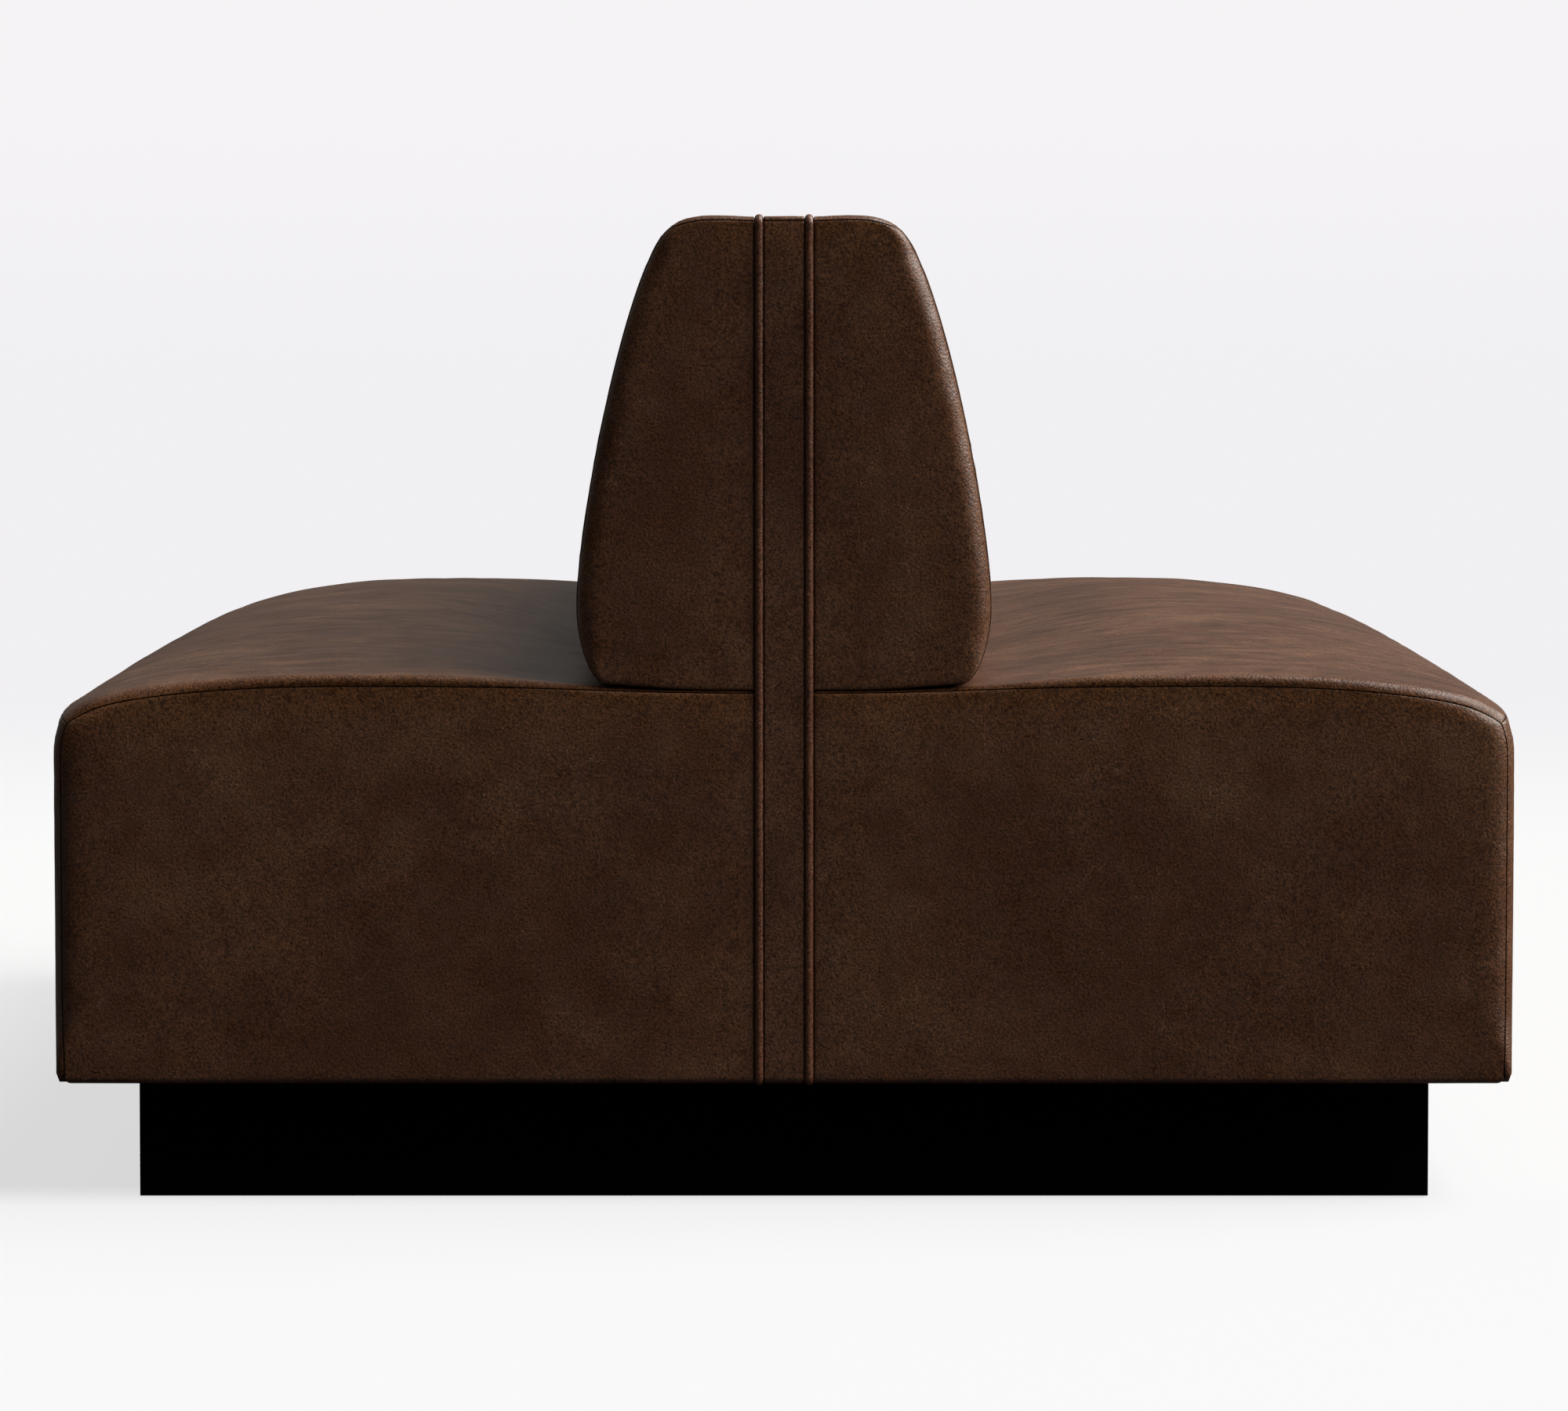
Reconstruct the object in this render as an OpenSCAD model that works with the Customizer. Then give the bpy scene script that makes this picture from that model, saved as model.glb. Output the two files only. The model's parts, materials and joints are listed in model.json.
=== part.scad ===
/* [Overall] */
// Length of the bench over the welts at its two ends
bench_l = 2134; // [1700:1:2600]
// Width of the seat block over its two long sides
bench_w = 1276; // [1200:1:1400]
// Height of the leather on top of the backrest
bench_h = 864.5; // [820:0.5:930]
// Height of the end seam where the seat is highest
seat_h = 460.5; // [440:0.5:480]
// Height of the seat block's underside above the floor
block_z = 109; // [90:1:130]
// Setback of the plinth from the block's sides and ends
plinth_in = 69; // [58:1:85]

/* [Seat] */
// Distance from the centre line to the highest line of each seat
crest_x = 386; // [350:1:420]
// Fall of the end seam from that line to the welts
seam_fall = 10; // [6:0.5:14]
// Fall of the seat from that line to the foot of the backrest
seat_fall = 12.5; // [9:0.5:16]
// Height of the round shoulder between the seat and its long side
shoulder_h = 42; // [30:1:55]
// How far the seat's leather swells past its end seam
seat_roll = 6; // [3:0.5:8]
// Rise of the seat from its ends to the middle of its length
seat_crown = 24.5; // [0:0.5:32]
// Thickness of the seat foam at its highest line, without the crown
seat_foam_t = 85; // [60:1:100]

/* [Backrest] */
// Width of the backrest at its widest
back_w = 362; // [340:1:390]
// Height of that widest line above the seat's end seam
back_wide_rise = 65; // [55:1:80]
// Width of the backrest at its shoulders
back_shoulder_w = 224.5; // [208:0.5:245]
// Depth of the rounded shoulders below the top
back_shoulder_h = 26.5; // [20:0.5:32]
// Width of the flat on top
back_top_w = 143; // [125:1:160]
// Width of the backrest at its foot
back_foot_w = 313; // [300:1:335]
// How far the backrest's leather swells past its end seam
back_roll = 10; // [6:0.5:12]
// Swell of each back face from its ends to the middle of its length
back_crown = 5; // [0:1:9]
// Thickness of the foam over the top of the back frame
back_cap_foam_t = 44; // [35:1:55]

/* [Leather and trim] */
// Thickness of the hide
hide_t = 1.5; // [1:0.1:2]
// Width of the leather turned under the seat block
flap_w = 38; // [25:1:45]
// Swell of the leather on the end faces
end_crown = 1.2; // [0:0.1:1.5]
// Distance between the centres of the two welts
welt_gap = 43.5; // [36:0.5:56]
// Diameter of a welt
welt_d = 7.7; // [6:0.1:9]
// Diameter of the cord inside a welt
welt_cord_d = 5; // [4:0.1:5.4]
// How far a welt's centre lies below the leather
welt_sink = 2; // [1.5:0.1:2.5]

/* [Frame] */
// Thickness of the boards of the frame and the plinth
board_t = 18; // [15:1:21]
// Thickness of the boards along the two long sides
side_board_t = 12; // [9:1:15]
// Thickness of the padding on the end boards
pad_t = 12; // [8:1:15]
// Height of the timber base frame
base_rail_h = 30; // [24:1:36]
// Width of the timbers of the base frame
base_rail_w = 70; // [60:1:80]
// Width of the rails that hold the seat webbing
deck_rail_w = 42; // [32:1:50]
// Height of the rails that hold the seat webbing
deck_rail_h = 45; // [38:1:52]
// Thickness of the two beams that carry the backrest
beam_t = 36; // [28:1:40]
// Distance from the centre line to the inner face of each beam
beam_x = 40; // [30:1:44]
// Width of the backrest's base board
back_base_w = 200; // [180:1:205]
// Width of the back frame at its foot
back_frame_w = 224; // [212:1:230]
// Width of the back frame at its top
back_frame_top_w = 120; // [110:1:130]
// Thickness of the rails that hold the back webbing
back_rail_t = 25; // [20:1:28]
// Height of the lower back rails
back_lower_rail_h = 60; // [45:1:70]
// Height of the upper back rails
back_upper_rail_h = 50; // [40:1:60]

/* [Webbing, cloth and small parts] */
// Width of a strap of webbing
strap_w = 50; // [40:1:60]
// Thickness of the webbing
strap_t = 2; // [1.5:0.1:2.5]
// Number of straps across each seat
seat_straps = 13; // [9:1:15]
// Number of straps up each back face
back_straps = 11; // [7:1:13]
// Thickness of the hessian and of the dust cover
cloth_t = 1; // [0.6:0.1:1.4]
// Height of the glides under the plinth
glide_h = 2; // [2:0.5:5]
// Diameter of a glide
glide_d = 16; // [12:1:18]
// Side of a corner block in the plinth
corner_block_w = 40; // [30:1:50]
// Diameter of a screw between base frame and plinth
screw_d = 5; // [4:0.5:6]
// Length of such a screw under its head
screw_l = 75; // [60:1:85]
// Diameter of a coach screw that holds the backrest
coach_d = 8; // [6:0.5:10]
// Length of a coach screw under its washer
coach_l = 75; // [60:1:90]

/* [Hidden] */

// Colours
hide_colour = "#3a2419";
strip_colour = "#352016";
plinth_colour = "#0d0d0d";
board_colour = "#c9a878";
timber_colour = "#d8bd8d";
foam_colour = "#e9dfb8";
pad_colour = "#e8e6df";
webbing_colour = "#6b5a43";
hessian_colour = "#a98f62";
dust_colour = "#1c1c1c";
nylon_colour = "#d9d9d4";
steel_colour = "#a9adb0";
cord_colour = "#ddd5c4";

// Clearances
ease = 0.5;
fit_gap = 0.2;
overrun = 1;

// Levels along the length, from the outer leather inwards
face_y = bench_l / 2 - welt_d / 2 + welt_sink;
pad_y = face_y - hide_t - ease;
board_y = pad_y - pad_t;
inner_y = board_y - board_t;

// Levels across the width
side_x = bench_w / 2;
pad_side_x = side_x - hide_t - ease;
board_side_x = pad_side_x - pad_t - seat_roll;
inner_side_x = board_side_x - side_board_t;
beam_out_x = beam_x + beam_t;
trim_x = welt_gap / 2 + welt_d / 2 + fit_gap;
strip_x = welt_gap / 2 - welt_d / 2 - fit_gap;

// Levels above the floor
frame_z = block_z + hide_t + ease;
base_top_z = frame_z + base_rail_h;
crest_z = seat_h + seat_roll;
deck_z = crest_z - hide_t - ease - seat_foam_t - cloth_t - strap_t;
hessian_z = deck_z + strap_t;
foam_z = hessian_z + cloth_t;
partition_top_z = deck_z - deck_rail_h;
saddle_z = crest_z - seat_fall;

// Plinth
plinth_x = side_x - plinth_in;
plinth_y = bench_l / 2 - plinth_in;
cross_lift = 10;
glide_in = 30;
corner_block_short = 6;

// Stations of the cross members and fasteners, as shares of the inner half length
cross_shares = [-0.5, 0, 0.5];
base_cross_shares = [-1, -0.5, 0, 0.5, 1];
fixing_shares = [-0.78, -0.26, 0.26, 0.78];
glide_shares = [-1, 0, 1];

// Seat section: bottom corner, shoulder and where its seam lies
bottom_r = 7;
shoulder_angles = [72, 55, 40, 27, 16, 7];
shoulder_z = crest_z - shoulder_h;
seat_width_shares = [0.12, 0.26, 0.42, 0.6, 0.8, 1];
side_height_shares = [0.75, 0.4, 0];
corner_angles = [0, 30, 60, 90];
flap_angles = [0, 45, 90];
pad_corner_share = 0.7;
crown_from_x = back_foot_w / 2;
fall_power = 1.8;

// Backrest section
back_wide_z = seat_h + back_wide_rise;
back_x = back_w / 2;
back_shoulder_x = back_shoulder_w / 2;
back_top_x = back_top_w / 2;
back_foot_x = back_foot_w / 2;
back_shoulder_z = bench_h - back_shoulder_h;
foot_gap = 2;
back_flap_w = 36;
face_lean = 34;
face_rise_share = 0.2;
shoulder_pull_share = 0.36;
foot_round = 10;
shoulder_shares = [0.33, 0.67];
back_face_shares = [0, 0.2, 0.4, 0.6, 0.8, 1];
foot_shares = [0.25, 0.5, 0.75, 1];

// Back frame
base_board_z = saddle_z;
back_frame_z = base_board_z + board_t;
back_frame_x = back_frame_w / 2;
back_frame_top_x = back_frame_top_w / 2;
cap_top_z = bench_h - hide_t - ease - back_cap_foam_t;
cap_z = cap_top_z - board_t;

// Where the leather swells from its end seams
roll_run = 10;
roll_shares = [0, 0.12, 0.45, 1];
crown_shares = [-0.8, -0.42, 0, 0.42, 0.8];
foam_roll_share = 0.45;
foam_crown_shares = [-0.8, 0, 0.8];
end_inset = 1.5;

// Rows of points over the end faces, and where their outer bottom corner lies
face_height_shares = [0.03, 0.5, 1];
face_width_shares = [0, 0.3, 0.65, 1];
corner_drop_share = 0.1;
corner_lift_share = 0.13;

// Small parts
head_d_ratio = 1.9;
head_h_ratio = 0.55;
washer_d_ratio = 2.8;
washer_t = 1.6;
round_fn = 24;
screw_fn = 12;
welt_sides = 10;
cord_sides = 6;
edge_r = back_roll;
groove_d = welt_sink + welt_d / 2 + ease;

// Box between two opposite corners
module box(lo, hi) { translate(lo) cube(hi - lo); }

// Outline in X and Z drawn out from y0 to y1
module drawn(y0, y1) {
    translate([0, y1, 0]) rotate([90, 0, 0]) linear_extrude(y1 - y0) children();
}

// The same piece on the other side, or at the other end
module other_side() { mirror([1, 0, 0]) children(); }
module other_end() { mirror([0, 1, 0]) children(); }
module both_sides() {
    children();
    other_side() children();
}

// Point on a cubic curve, and on a quadratic one
function cubic(a, b, c, d, t) =
    (1 - t) ^ 3 * a + 3 * (1 - t) ^ 2 * t * b + 3 * (1 - t) * t ^ 2 * c + t ^ 3 * d;
function quadratic(a, b, c, t) = (1 - t) ^ 2 * a + 2 * (1 - t) * t * b + t ^ 2 * c;
function mix(a, b, t) = a + (b - a) * t;
function soft_step(t) = (1 - cos(180 * min(1, max(0, t)))) / 2;

// Outward direction at a point of a section listed from the centre line outwards and down
function outward(sec, i) =
    let(a = sec[max(0, i - 1)], b = sec[min(len(sec) - 1, i + 1)], t = (b - a) / norm(b - a))
    [-t[1], t[0]];
function inset(sec, by) = [for (i = [0:len(sec) - 1]) sec[i] - by * outward(sec, i)];

// Share of the full swell at a distance in from the end seam: a quarter circle
function swell(d) = d >= roll_run ? 1 : sqrt(max(0, 1 - (1 - d / roll_run) ^ 2));
function crown_at(y) = max(0, 1 - (y / face_y) ^ 2);

// Share of an end face's swell at a share of its width or height: flat in the middle
function bulge(share) = 1 - (2 * share - 1) ^ 4;

// Closed solid between an outer grid of points and an inner one with as many points
module slab(outer, inner) {
    n = len(outer);
    m = len(outer[0]);
    points = [for (g = [outer, inner]) for (row = g) for (p = row) p];
    function a(i, j) = i * m + j;
    function b(i, j) = n * m + i * m + j;
    faces = [
        for (i = [0:n - 2]) for (j = [0:m - 2]) each [
            [a(i, j), a(i + 1, j + 1), a(i + 1, j)],
            [a(i, j), a(i, j + 1), a(i + 1, j + 1)],
            [b(i, j), b(i + 1, j), b(i + 1, j + 1)],
            [b(i, j), b(i + 1, j + 1), b(i, j + 1)]
        ],
        for (i = [0:n - 2]) each [
            [a(i, 0), a(i + 1, 0), b(i + 1, 0)],
            [a(i, 0), b(i + 1, 0), b(i, 0)],
            [a(i, m - 1), b(i + 1, m - 1), a(i + 1, m - 1)],
            [a(i, m - 1), b(i, m - 1), b(i + 1, m - 1)]
        ],
        for (j = [0:m - 2]) each [
            [a(0, j + 1), a(0, j), b(0, j)],
            [a(0, j + 1), b(0, j), b(0, j + 1)],
            [a(n - 1, j), a(n - 1, j + 1), b(n - 1, j + 1)],
            [a(n - 1, j), b(n - 1, j + 1), b(n - 1, j)]
        ]
    ];
    polyhedron(points, faces);
}

// Distances along the length at which the leather and the foam have a ring of points
leather_y = concat(
    [for (s = roll_shares) -face_y + s * roll_run],
    [for (s = crown_shares) s * (face_y - roll_run)],
    [for (k = [len(roll_shares) - 1:-1:0]) face_y - roll_shares[k] * roll_run]
);
foam_y = concat(
    [-face_y + foam_roll_share * roll_run, -face_y + roll_run],
    [for (s = foam_crown_shares) s * (face_y - roll_run)],
    [face_y - roll_run, face_y - foam_roll_share * roll_run]
);

// Points of a skin through a section at each ring, from its end seam to its full swell and crown
function skin(full, seam, rise, rings, tuck) = [
    for (i = [0:len(full) - 1]) [
        for (y = rings)
            let(
                p = seam[i] + swell(face_y - abs(y)) * (full[i] - seam[i])
                    + crown_at(y) * rise[i]
            )
            [p[0], sign(y) * max(0, abs(y) - tuck[i]), p[1]]
    ]
];

// Seat section, from beside the beam to the seam on its shoulder
seat_in_x = beam_out_x + 2 * ease;
function seat_full_z(x) =
    crest_z - seat_fall * pow(soft_step((crest_x - x) / (crest_x - seat_flat_x)), fall_power);
function seat_seam_z(x) = seat_h - seam_fall * soft_step((crest_x - x) / (crest_x - trim_x));
function shoulder_point(a, reach, rise) = [crest_x + reach * cos(a), shoulder_z + rise * sin(a)];
seat_flat_x = back_base_w / 2 + ease;
seat_xs = concat(
    [seat_in_x, seat_flat_x], [for (s = seat_width_shares) mix(seat_flat_x, crest_x, s)]
);
seat_full = concat(
    [for (x = seat_xs) [x, seat_full_z(x)]],
    [for (a = shoulder_angles) shoulder_point(a, side_x - crest_x, shoulder_h)]
);
seat_seam = concat(
    [for (x = seat_xs) [x, seat_seam_z(x)]],
    [
        for (a = shoulder_angles)
            shoulder_point(a, side_x - seat_roll - crest_x, shoulder_h - seat_roll)
    ]
);
seat_rise = concat(
    [for (x = seat_xs) [0, seat_crown * soft_step((x - crown_from_x) / (crest_x - crown_from_x))]],
    [for (a = shoulder_angles) [0, seat_crown * sin(a)]]
);
seat_tuck = [for (p = seat_full) 0];

// Side section, from that seam down and under the block
side_top_z = seat_full[len(seat_full) - 1][1] - ease;
function side_section(x) = concat(
    [[x, side_top_z]],
    [for (s = side_height_shares) [x, mix(block_z + bottom_r, side_top_z, s)]],
    [
        for (a = flap_angles)
            [x - bottom_r * (1 - cos(a)), block_z + bottom_r * (1 - sin(a))]
    ],
    [[x - flap_w, block_z]]
);
side_rows = len(side_section(0));
side_full = [for (i = [0:side_rows - 1]) if (i != len(side_height_shares)) side_section(side_x)[i]];
side_seam = [
    for (i = [0:side_rows - 1]) if (i != len(side_height_shares)) side_section(side_x - seat_roll)[i]
];
side_rise = [for (p = side_full) [0, 0]];
side_tuck = [for (p = side_full) p[1] < block_z + hide_t ? side_x - p[0] : 0];

// Backrest section, from beside the welt over the shoulder and down to the flap under its foot
back_top = [trim_x, bench_h];
back_flat = [back_top_x, bench_h];
back_corner = [back_shoulder_x - face_lean * shoulder_pull_share, bench_h - ease];
back_shoulder = [back_shoulder_x, back_shoulder_z];
back_widest = [back_x, back_wide_z];
face_run = back_shoulder_z - back_wide_z;
back_foot_z = seat_full_z(back_foot_x) + foot_gap;
back_foot = [back_foot_x, back_foot_z];
foot_run = back_wide_z - back_foot_z;
back_full = concat(
    [back_top, back_flat],
    [for (t = shoulder_shares) quadratic(back_flat, back_corner, back_shoulder, t)],
    [
        for (t = back_face_shares)
            cubic(
                back_shoulder,
                back_shoulder + [face_lean, -face_run * face_rise_share],
                back_widest + [0, face_run * face_rise_share],
                back_widest,
                t
            )
    ],
    [
        for (t = foot_shares)
            cubic(
                back_widest,
                back_widest - [0, foot_run / 2],
                back_foot + [foot_round, foot_gap],
                back_foot,
                t
            )
    ],
    [back_foot - [back_flap_w, foot_gap - ease]]
);
back_last = len(back_full) - 1;
back_seam = [
    for (i = [0:back_last])
        back_full[i] - outward(back_full, i) * back_roll * (i < back_last - 1 ? 1 : 0)
];
back_rise = [
    for (i = [0:back_last])
        outward(back_full, i) * back_crown
            * soft_step((bench_h - back_full[i][1]) / back_shoulder_h / 2)
            * soft_step((back_full[i][1] - back_foot_z) / foot_run)
];
back_tuck = [for (i = [0:back_last]) i == back_last ? back_flap_w : 0];

// Half width of the back frame at a height
function back_frame_at(z) =
    mix(back_frame_x, back_frame_top_x, (z - back_frame_z) / (cap_z - back_frame_z));

module seat_leather() {
    color(hide_colour) slab(
        skin(seat_full, seat_seam, seat_rise, leather_y, seat_tuck),
        skin(inset(seat_full, hide_t), inset(seat_seam, hide_t), seat_rise, leather_y, seat_tuck)
    );
}

module side_leather() {
    color(hide_colour) slab(
        skin(side_full, side_seam, side_rise, leather_y, side_tuck),
        skin(inset(side_full, hide_t), inset(side_seam, hide_t), side_rise, leather_y, side_tuck)
    );
}

module back_leather() {
    color(hide_colour) slab(
        skin(back_full, back_seam, back_rise, leather_y, back_tuck),
        skin(inset(back_full, hide_t), inset(back_seam, hide_t), back_rise, leather_y, back_tuck)
    );
}

// Seat foam: its flat underside lies on the hessian
module seat_foam() {
    by = hide_t + ease;
    top = skin(
        inset(seat_full, by), inset(seat_seam, by + end_inset), seat_rise, foam_y, seat_tuck
    );
    color(foam_colour) slab(top, [for (row = top) [for (p = row) [p[0], p[1], foam_z]]]);
}

// Padding on a long side
module side_pad() {
    by = hide_t + ease;
    top_z = foam_z - ease;
    bottom_z = frame_z + ease;
    function at(full) = [for (z = [top_z, bottom_z + bottom_r, bottom_z]) [full - by, z]];
    outer = skin(at(side_x), at(side_x - seat_roll - end_inset), [for (k = [0:2]) [0, 0]], foam_y,
        [for (k = [0:2]) 0]);
    trimmed = [
        for (i = [0:2]) [for (p = outer[i]) [i < 2 ? p[0] : p[0] - bottom_r * pad_corner_share, p[1], p[2]]]
    ];
    color(pad_colour) slab(trimmed, [for (row = trimmed) [for (p = row) [board_side_x, p[1], p[2]]]]);
}

// Back foam: the flat back of it lies on the webbing, and its top on the cap board
module back_foam() {
    by = hide_t + ease;
    rows = back_last - 1;
    full = inset(back_full, by);
    seam = inset(back_seam, by + end_inset);
    outer = skin(
        [for (i = [0:rows]) i < 1 ? [trim_x + ease, full[i][1]] : full[i]],
        [for (i = [0:rows]) i < 1 ? [trim_x + ease, seam[i][1]] : seam[i]],
        back_rise, foam_y, back_tuck
    );
    face_x = strap_t + ease;
    bed = [
        for (i = [0:rows])
            i < 1 ? [trim_x + ease, cap_top_z]
                : i < 2 ? [back_frame_top_x + face_x, cap_top_z]
                : let(z = mix(cap_top_z, back_frame_z, (i - 1) / (rows - 1)))
                    [back_frame_at(min(z, cap_z)) + face_x, z]
    ];
    color(foam_colour) slab(
        outer,
        [for (i = [0:rows]) [for (j = [0:len(foam_y) - 1]) [bed[i][0], outer[i][j][1], bed[i][1]]]]
    );
}

// Leather on one half of the seat block's end, with its flap turned under
module seat_end_leather() {
    by = hide_t + ease;
    corner_x = side_x - seat_roll - by;
    edge = concat(
        [for (x = [trim_x, (trim_x + seat_in_x) / 2]) [x, seat_seam_z(x)]],
        inset(seat_seam, by),
        [[corner_x, mix(shoulder_z, block_z, corner_drop_share)]]
    );
    last = len(edge) - 1;
    low_z = block_z + bottom_r * corner_lift_share;
    function foot(i, back) = mix(trim_x, corner_x - back, (edge[i][0] - trim_x) / (corner_x - trim_x));
    function face_point(i, v) = [
        v > 0 ? edge[i][0] : foot(i, bottom_r),
        -face_y - end_crown * bulge(i / last) * bulge(v),
        mix(low_z, edge[i][1] - (i < 2 ? ease : 0), v)
    ];
    outer = [
        for (i = [0:last]) concat(
            [[foot(i, flap_w), -face_y + flap_w, block_z]],
            [[foot(i, bottom_r), -face_y + bottom_r / 2, block_z]],
            [face_point(i, 0)],
            [for (v = face_height_shares) face_point(i, v)]
        )
    ];
    inner = [
        for (row = outer) [
            for (j = [0:len(row) - 1])
                row[j] + (j < 1 ? [0, 0, hide_t] : j < 2 ? [0, hide_t / 2, hide_t] : [0, hide_t, 0])
        ]
    ];
    color(hide_colour) slab(outer, inner);
}

// Leather on one half of the backrest's end
module back_end_leather() {
    by = hide_t + ease;
    edge = inset(back_seam, by);
    rows = back_last - 1;
    low_z = saddle_z + ease;
    high_z = edge[0][1];
    outer = [
        for (v = face_width_shares) [
            for (i = [rows:-1:0])
                [
                    mix(trim_x, edge[i][0], v),
                    -face_y - end_crown * bulge(i / rows) * bulge(v),
                    mix(mix(high_z, low_z, i / rows), edge[i][1], v ^ 2)
                ]
        ]
    ];
    color(hide_colour) slab(
        outer, [for (row = outer) [for (p = row) p + [0, hide_t, 0]]]
    );
}

// Path of the strip and the welts in Y and Z, at a depth below the leather
function trim_path(depth) =
    let(
        r = bottom_r - depth, e = edge_r - depth, y = face_y - depth, z = block_z + depth,
        half = concat(
            [[-face_y + flap_w, z]],
            [for (a = corner_angles) [-y + r * (1 - sin(a)), z + r * (1 - cos(a))]],
            [for (a = corner_angles) [-y + e * (1 - cos(a)), bench_h - depth - e * (1 - sin(a))]]
        )
    )
    concat(half, [for (k = [len(half) - 1:-1:0]) [-half[k][0], half[k][1]]]);

module strip_leather() {
    out = trim_path(0);
    inn = trim_path(hide_t);
    xs = [-strip_x, 0, strip_x];
    color(strip_colour) slab(
        [for (x = xs) [for (p = out) [x, p[0], p[1]]]],
        [for (x = xs) [for (p = inn) [x, p[0], p[1]]]]
    );
}

// Ring of points round one point of a path in Y and Z, square to the path there
function ring(path, k, d, sides) =
    let(
        t = path[min(len(path) - 1, k + 1)] - path[max(0, k - 1)],
        n = [-t[1], t[0]] / norm(t)
    )
    [
        for (j = [0:sides - 1])
            let(a = 360 * (j + 0.5) / sides)
            [
                d / 2 * sin(a),
                path[k][0] + d / 2 * cos(a) * n[0],
                path[k][1] + d / 2 * cos(a) * n[1]
            ]
    ];

// Round bar along a path, with a bore if its diameter is over zero
module bar(path, d, bore, sides) {
    last = len(path) - 1;
    rings = [for (k = [0:last]) ring(path, k, d, sides)];
    inner = [for (k = [0:last]) ring(path, k, bore, sides)];
    points = [for (g = bore > 0 ? [rings, inner] : [rings]) for (r = g) for (p = r) p];
    function o(k, j) = k * sides + j % sides;
    function i(k, j) = (last + 1 + k) * sides + j % sides;
    wall = [
        for (k = [0:last - 1]) for (j = [0:sides - 1]) each [
            [o(k, j), o(k + 1, j + 1), o(k, j + 1)], [o(k, j), o(k + 1, j), o(k + 1, j + 1)]
        ]
    ];
    bore_wall = [
        for (k = [0:last - 1]) for (j = [0:sides - 1]) each [
            [i(k, j), i(k, j + 1), i(k + 1, j + 1)], [i(k, j), i(k + 1, j + 1), i(k + 1, j)]
        ]
    ];
    rims = [
        for (j = [0:sides - 1]) each [
            [o(0, j), o(0, j + 1), i(0, j + 1)], [o(0, j), i(0, j + 1), i(0, j)],
            [o(last, j), i(last, j + 1), o(last, j + 1)], [o(last, j), i(last, j), i(last, j + 1)]
        ]
    ];
    caps = [
        for (j = [1:sides - 2]) each [
            [o(0, 0), o(0, j), o(0, j + 1)], [o(last, 0), o(last, j + 1), o(last, j)]
        ]
    ];
    polyhedron(points, bore > 0 ? concat(wall, bore_wall, rims) : concat(wall, caps));
}

// Path of a welt's centre: it starts and ends behind the leather under the block
welt_path =
    let(full = trim_path(welt_sink), last = len(full) - 1, end_y = board_y + ease)
    [for (k = [0:last]) k == 0 ? [-end_y, full[k][1]] : k == last ? [end_y, full[k][1]] : full[k]];

module welt() {
    color(hide_colour) translate([welt_gap / 2, 0, 0])
        bar(welt_path, welt_d, welt_cord_d + 2 * fit_gap, welt_sides);
}

module welt_cords() {
    color(cord_colour) both_sides() translate([welt_gap / 2, 0, 0])
        bar(welt_path, welt_cord_d, 0, cord_sides);
}

// Plinth
module plinth_side() {
    color(plinth_colour) difference() {
        box([plinth_x - board_t, -plinth_y + board_t, glide_h], [plinth_x, plinth_y - board_t, frame_z]);
        for (s = fixing_shares) translate([plinth_x - board_t / 2, s * inner_y, frame_z + overrun])
            mirror([0, 0, 1]) cylinder(
                d = screw_d + fit_gap, h = screw_l - base_rail_h + 2 * overrun, $fn = round_fn
            );
    }
}

module plinth_end() {
    color(plinth_colour) box([-plinth_x, -plinth_y, glide_h], [plinth_x, -plinth_y + board_t, frame_z]);
}

module plinth_cross_rails() {
    x = plinth_x - board_t;
    color(plinth_colour) for (s = cross_shares) translate([0, s * inner_y, 0])
        box([-x, -board_t / 2, glide_h + cross_lift], [x, board_t / 2, frame_z - cloth_t]);
}

module plinth_corner_blocks() {
    x = plinth_x - board_t;
    y = plinth_y - board_t;
    w = corner_block_w;
    color(timber_colour) for (end = [0, 1]) mirror([0, end, 0]) both_sides()
        box([x - w, -y, glide_h + corner_block_short], [x, -y + w, frame_z - cloth_t - corner_block_short]);
}

module plinth_glides() {
    y = plinth_y - board_t - glide_in;
    color(nylon_colour) both_sides() for (s = glide_shares)
        translate([plinth_x - board_t / 2, s * y, 0]) cylinder(d = glide_d, h = glide_h, $fn = round_fn);
}

// Base frame
module base_rail() {
    color(timber_colour) difference() {
        box([inner_side_x - base_rail_w, -inner_y, frame_z], [inner_side_x, inner_y, base_top_z]);
        for (s = fixing_shares) translate([plinth_x - board_t / 2, s * inner_y, frame_z - overrun])
            cylinder(d = screw_d + fit_gap, h = base_rail_h + 2 * overrun, $fn = round_fn);
    }
}

module base_cross_rails() {
    x = inner_side_x - base_rail_w;
    y = inner_y - base_rail_w / 2;
    color(timber_colour) for (s = base_cross_shares) translate([0, s * y, 0])
        box([-x, -base_rail_w / 2, frame_z], [x, base_rail_w / 2, base_top_z]);
}

module dust_cover() {
    x = plinth_x - board_t - ease;
    y = plinth_y - board_t - ease;
    color(dust_colour) box([-x, -y, frame_z - cloth_t], [x, y, frame_z]);
}

// Seat box
module seat_side_board() {
    color(board_colour) box([inner_side_x, -inner_y, frame_z], [board_side_x, inner_y, deck_z]);
}

module seat_end_board() {
    x = board_side_x;
    top = saddle_z - hide_t - ease;
    color(board_colour) drawn(-board_y, -inner_y) polygon([
        [-x, frame_z], [x, frame_z], [x, deck_z], [beam_out_x, deck_z], [beam_out_x, top],
        [-beam_out_x, top], [-beam_out_x, deck_z], [-x, deck_z]
    ]);
}

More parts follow.
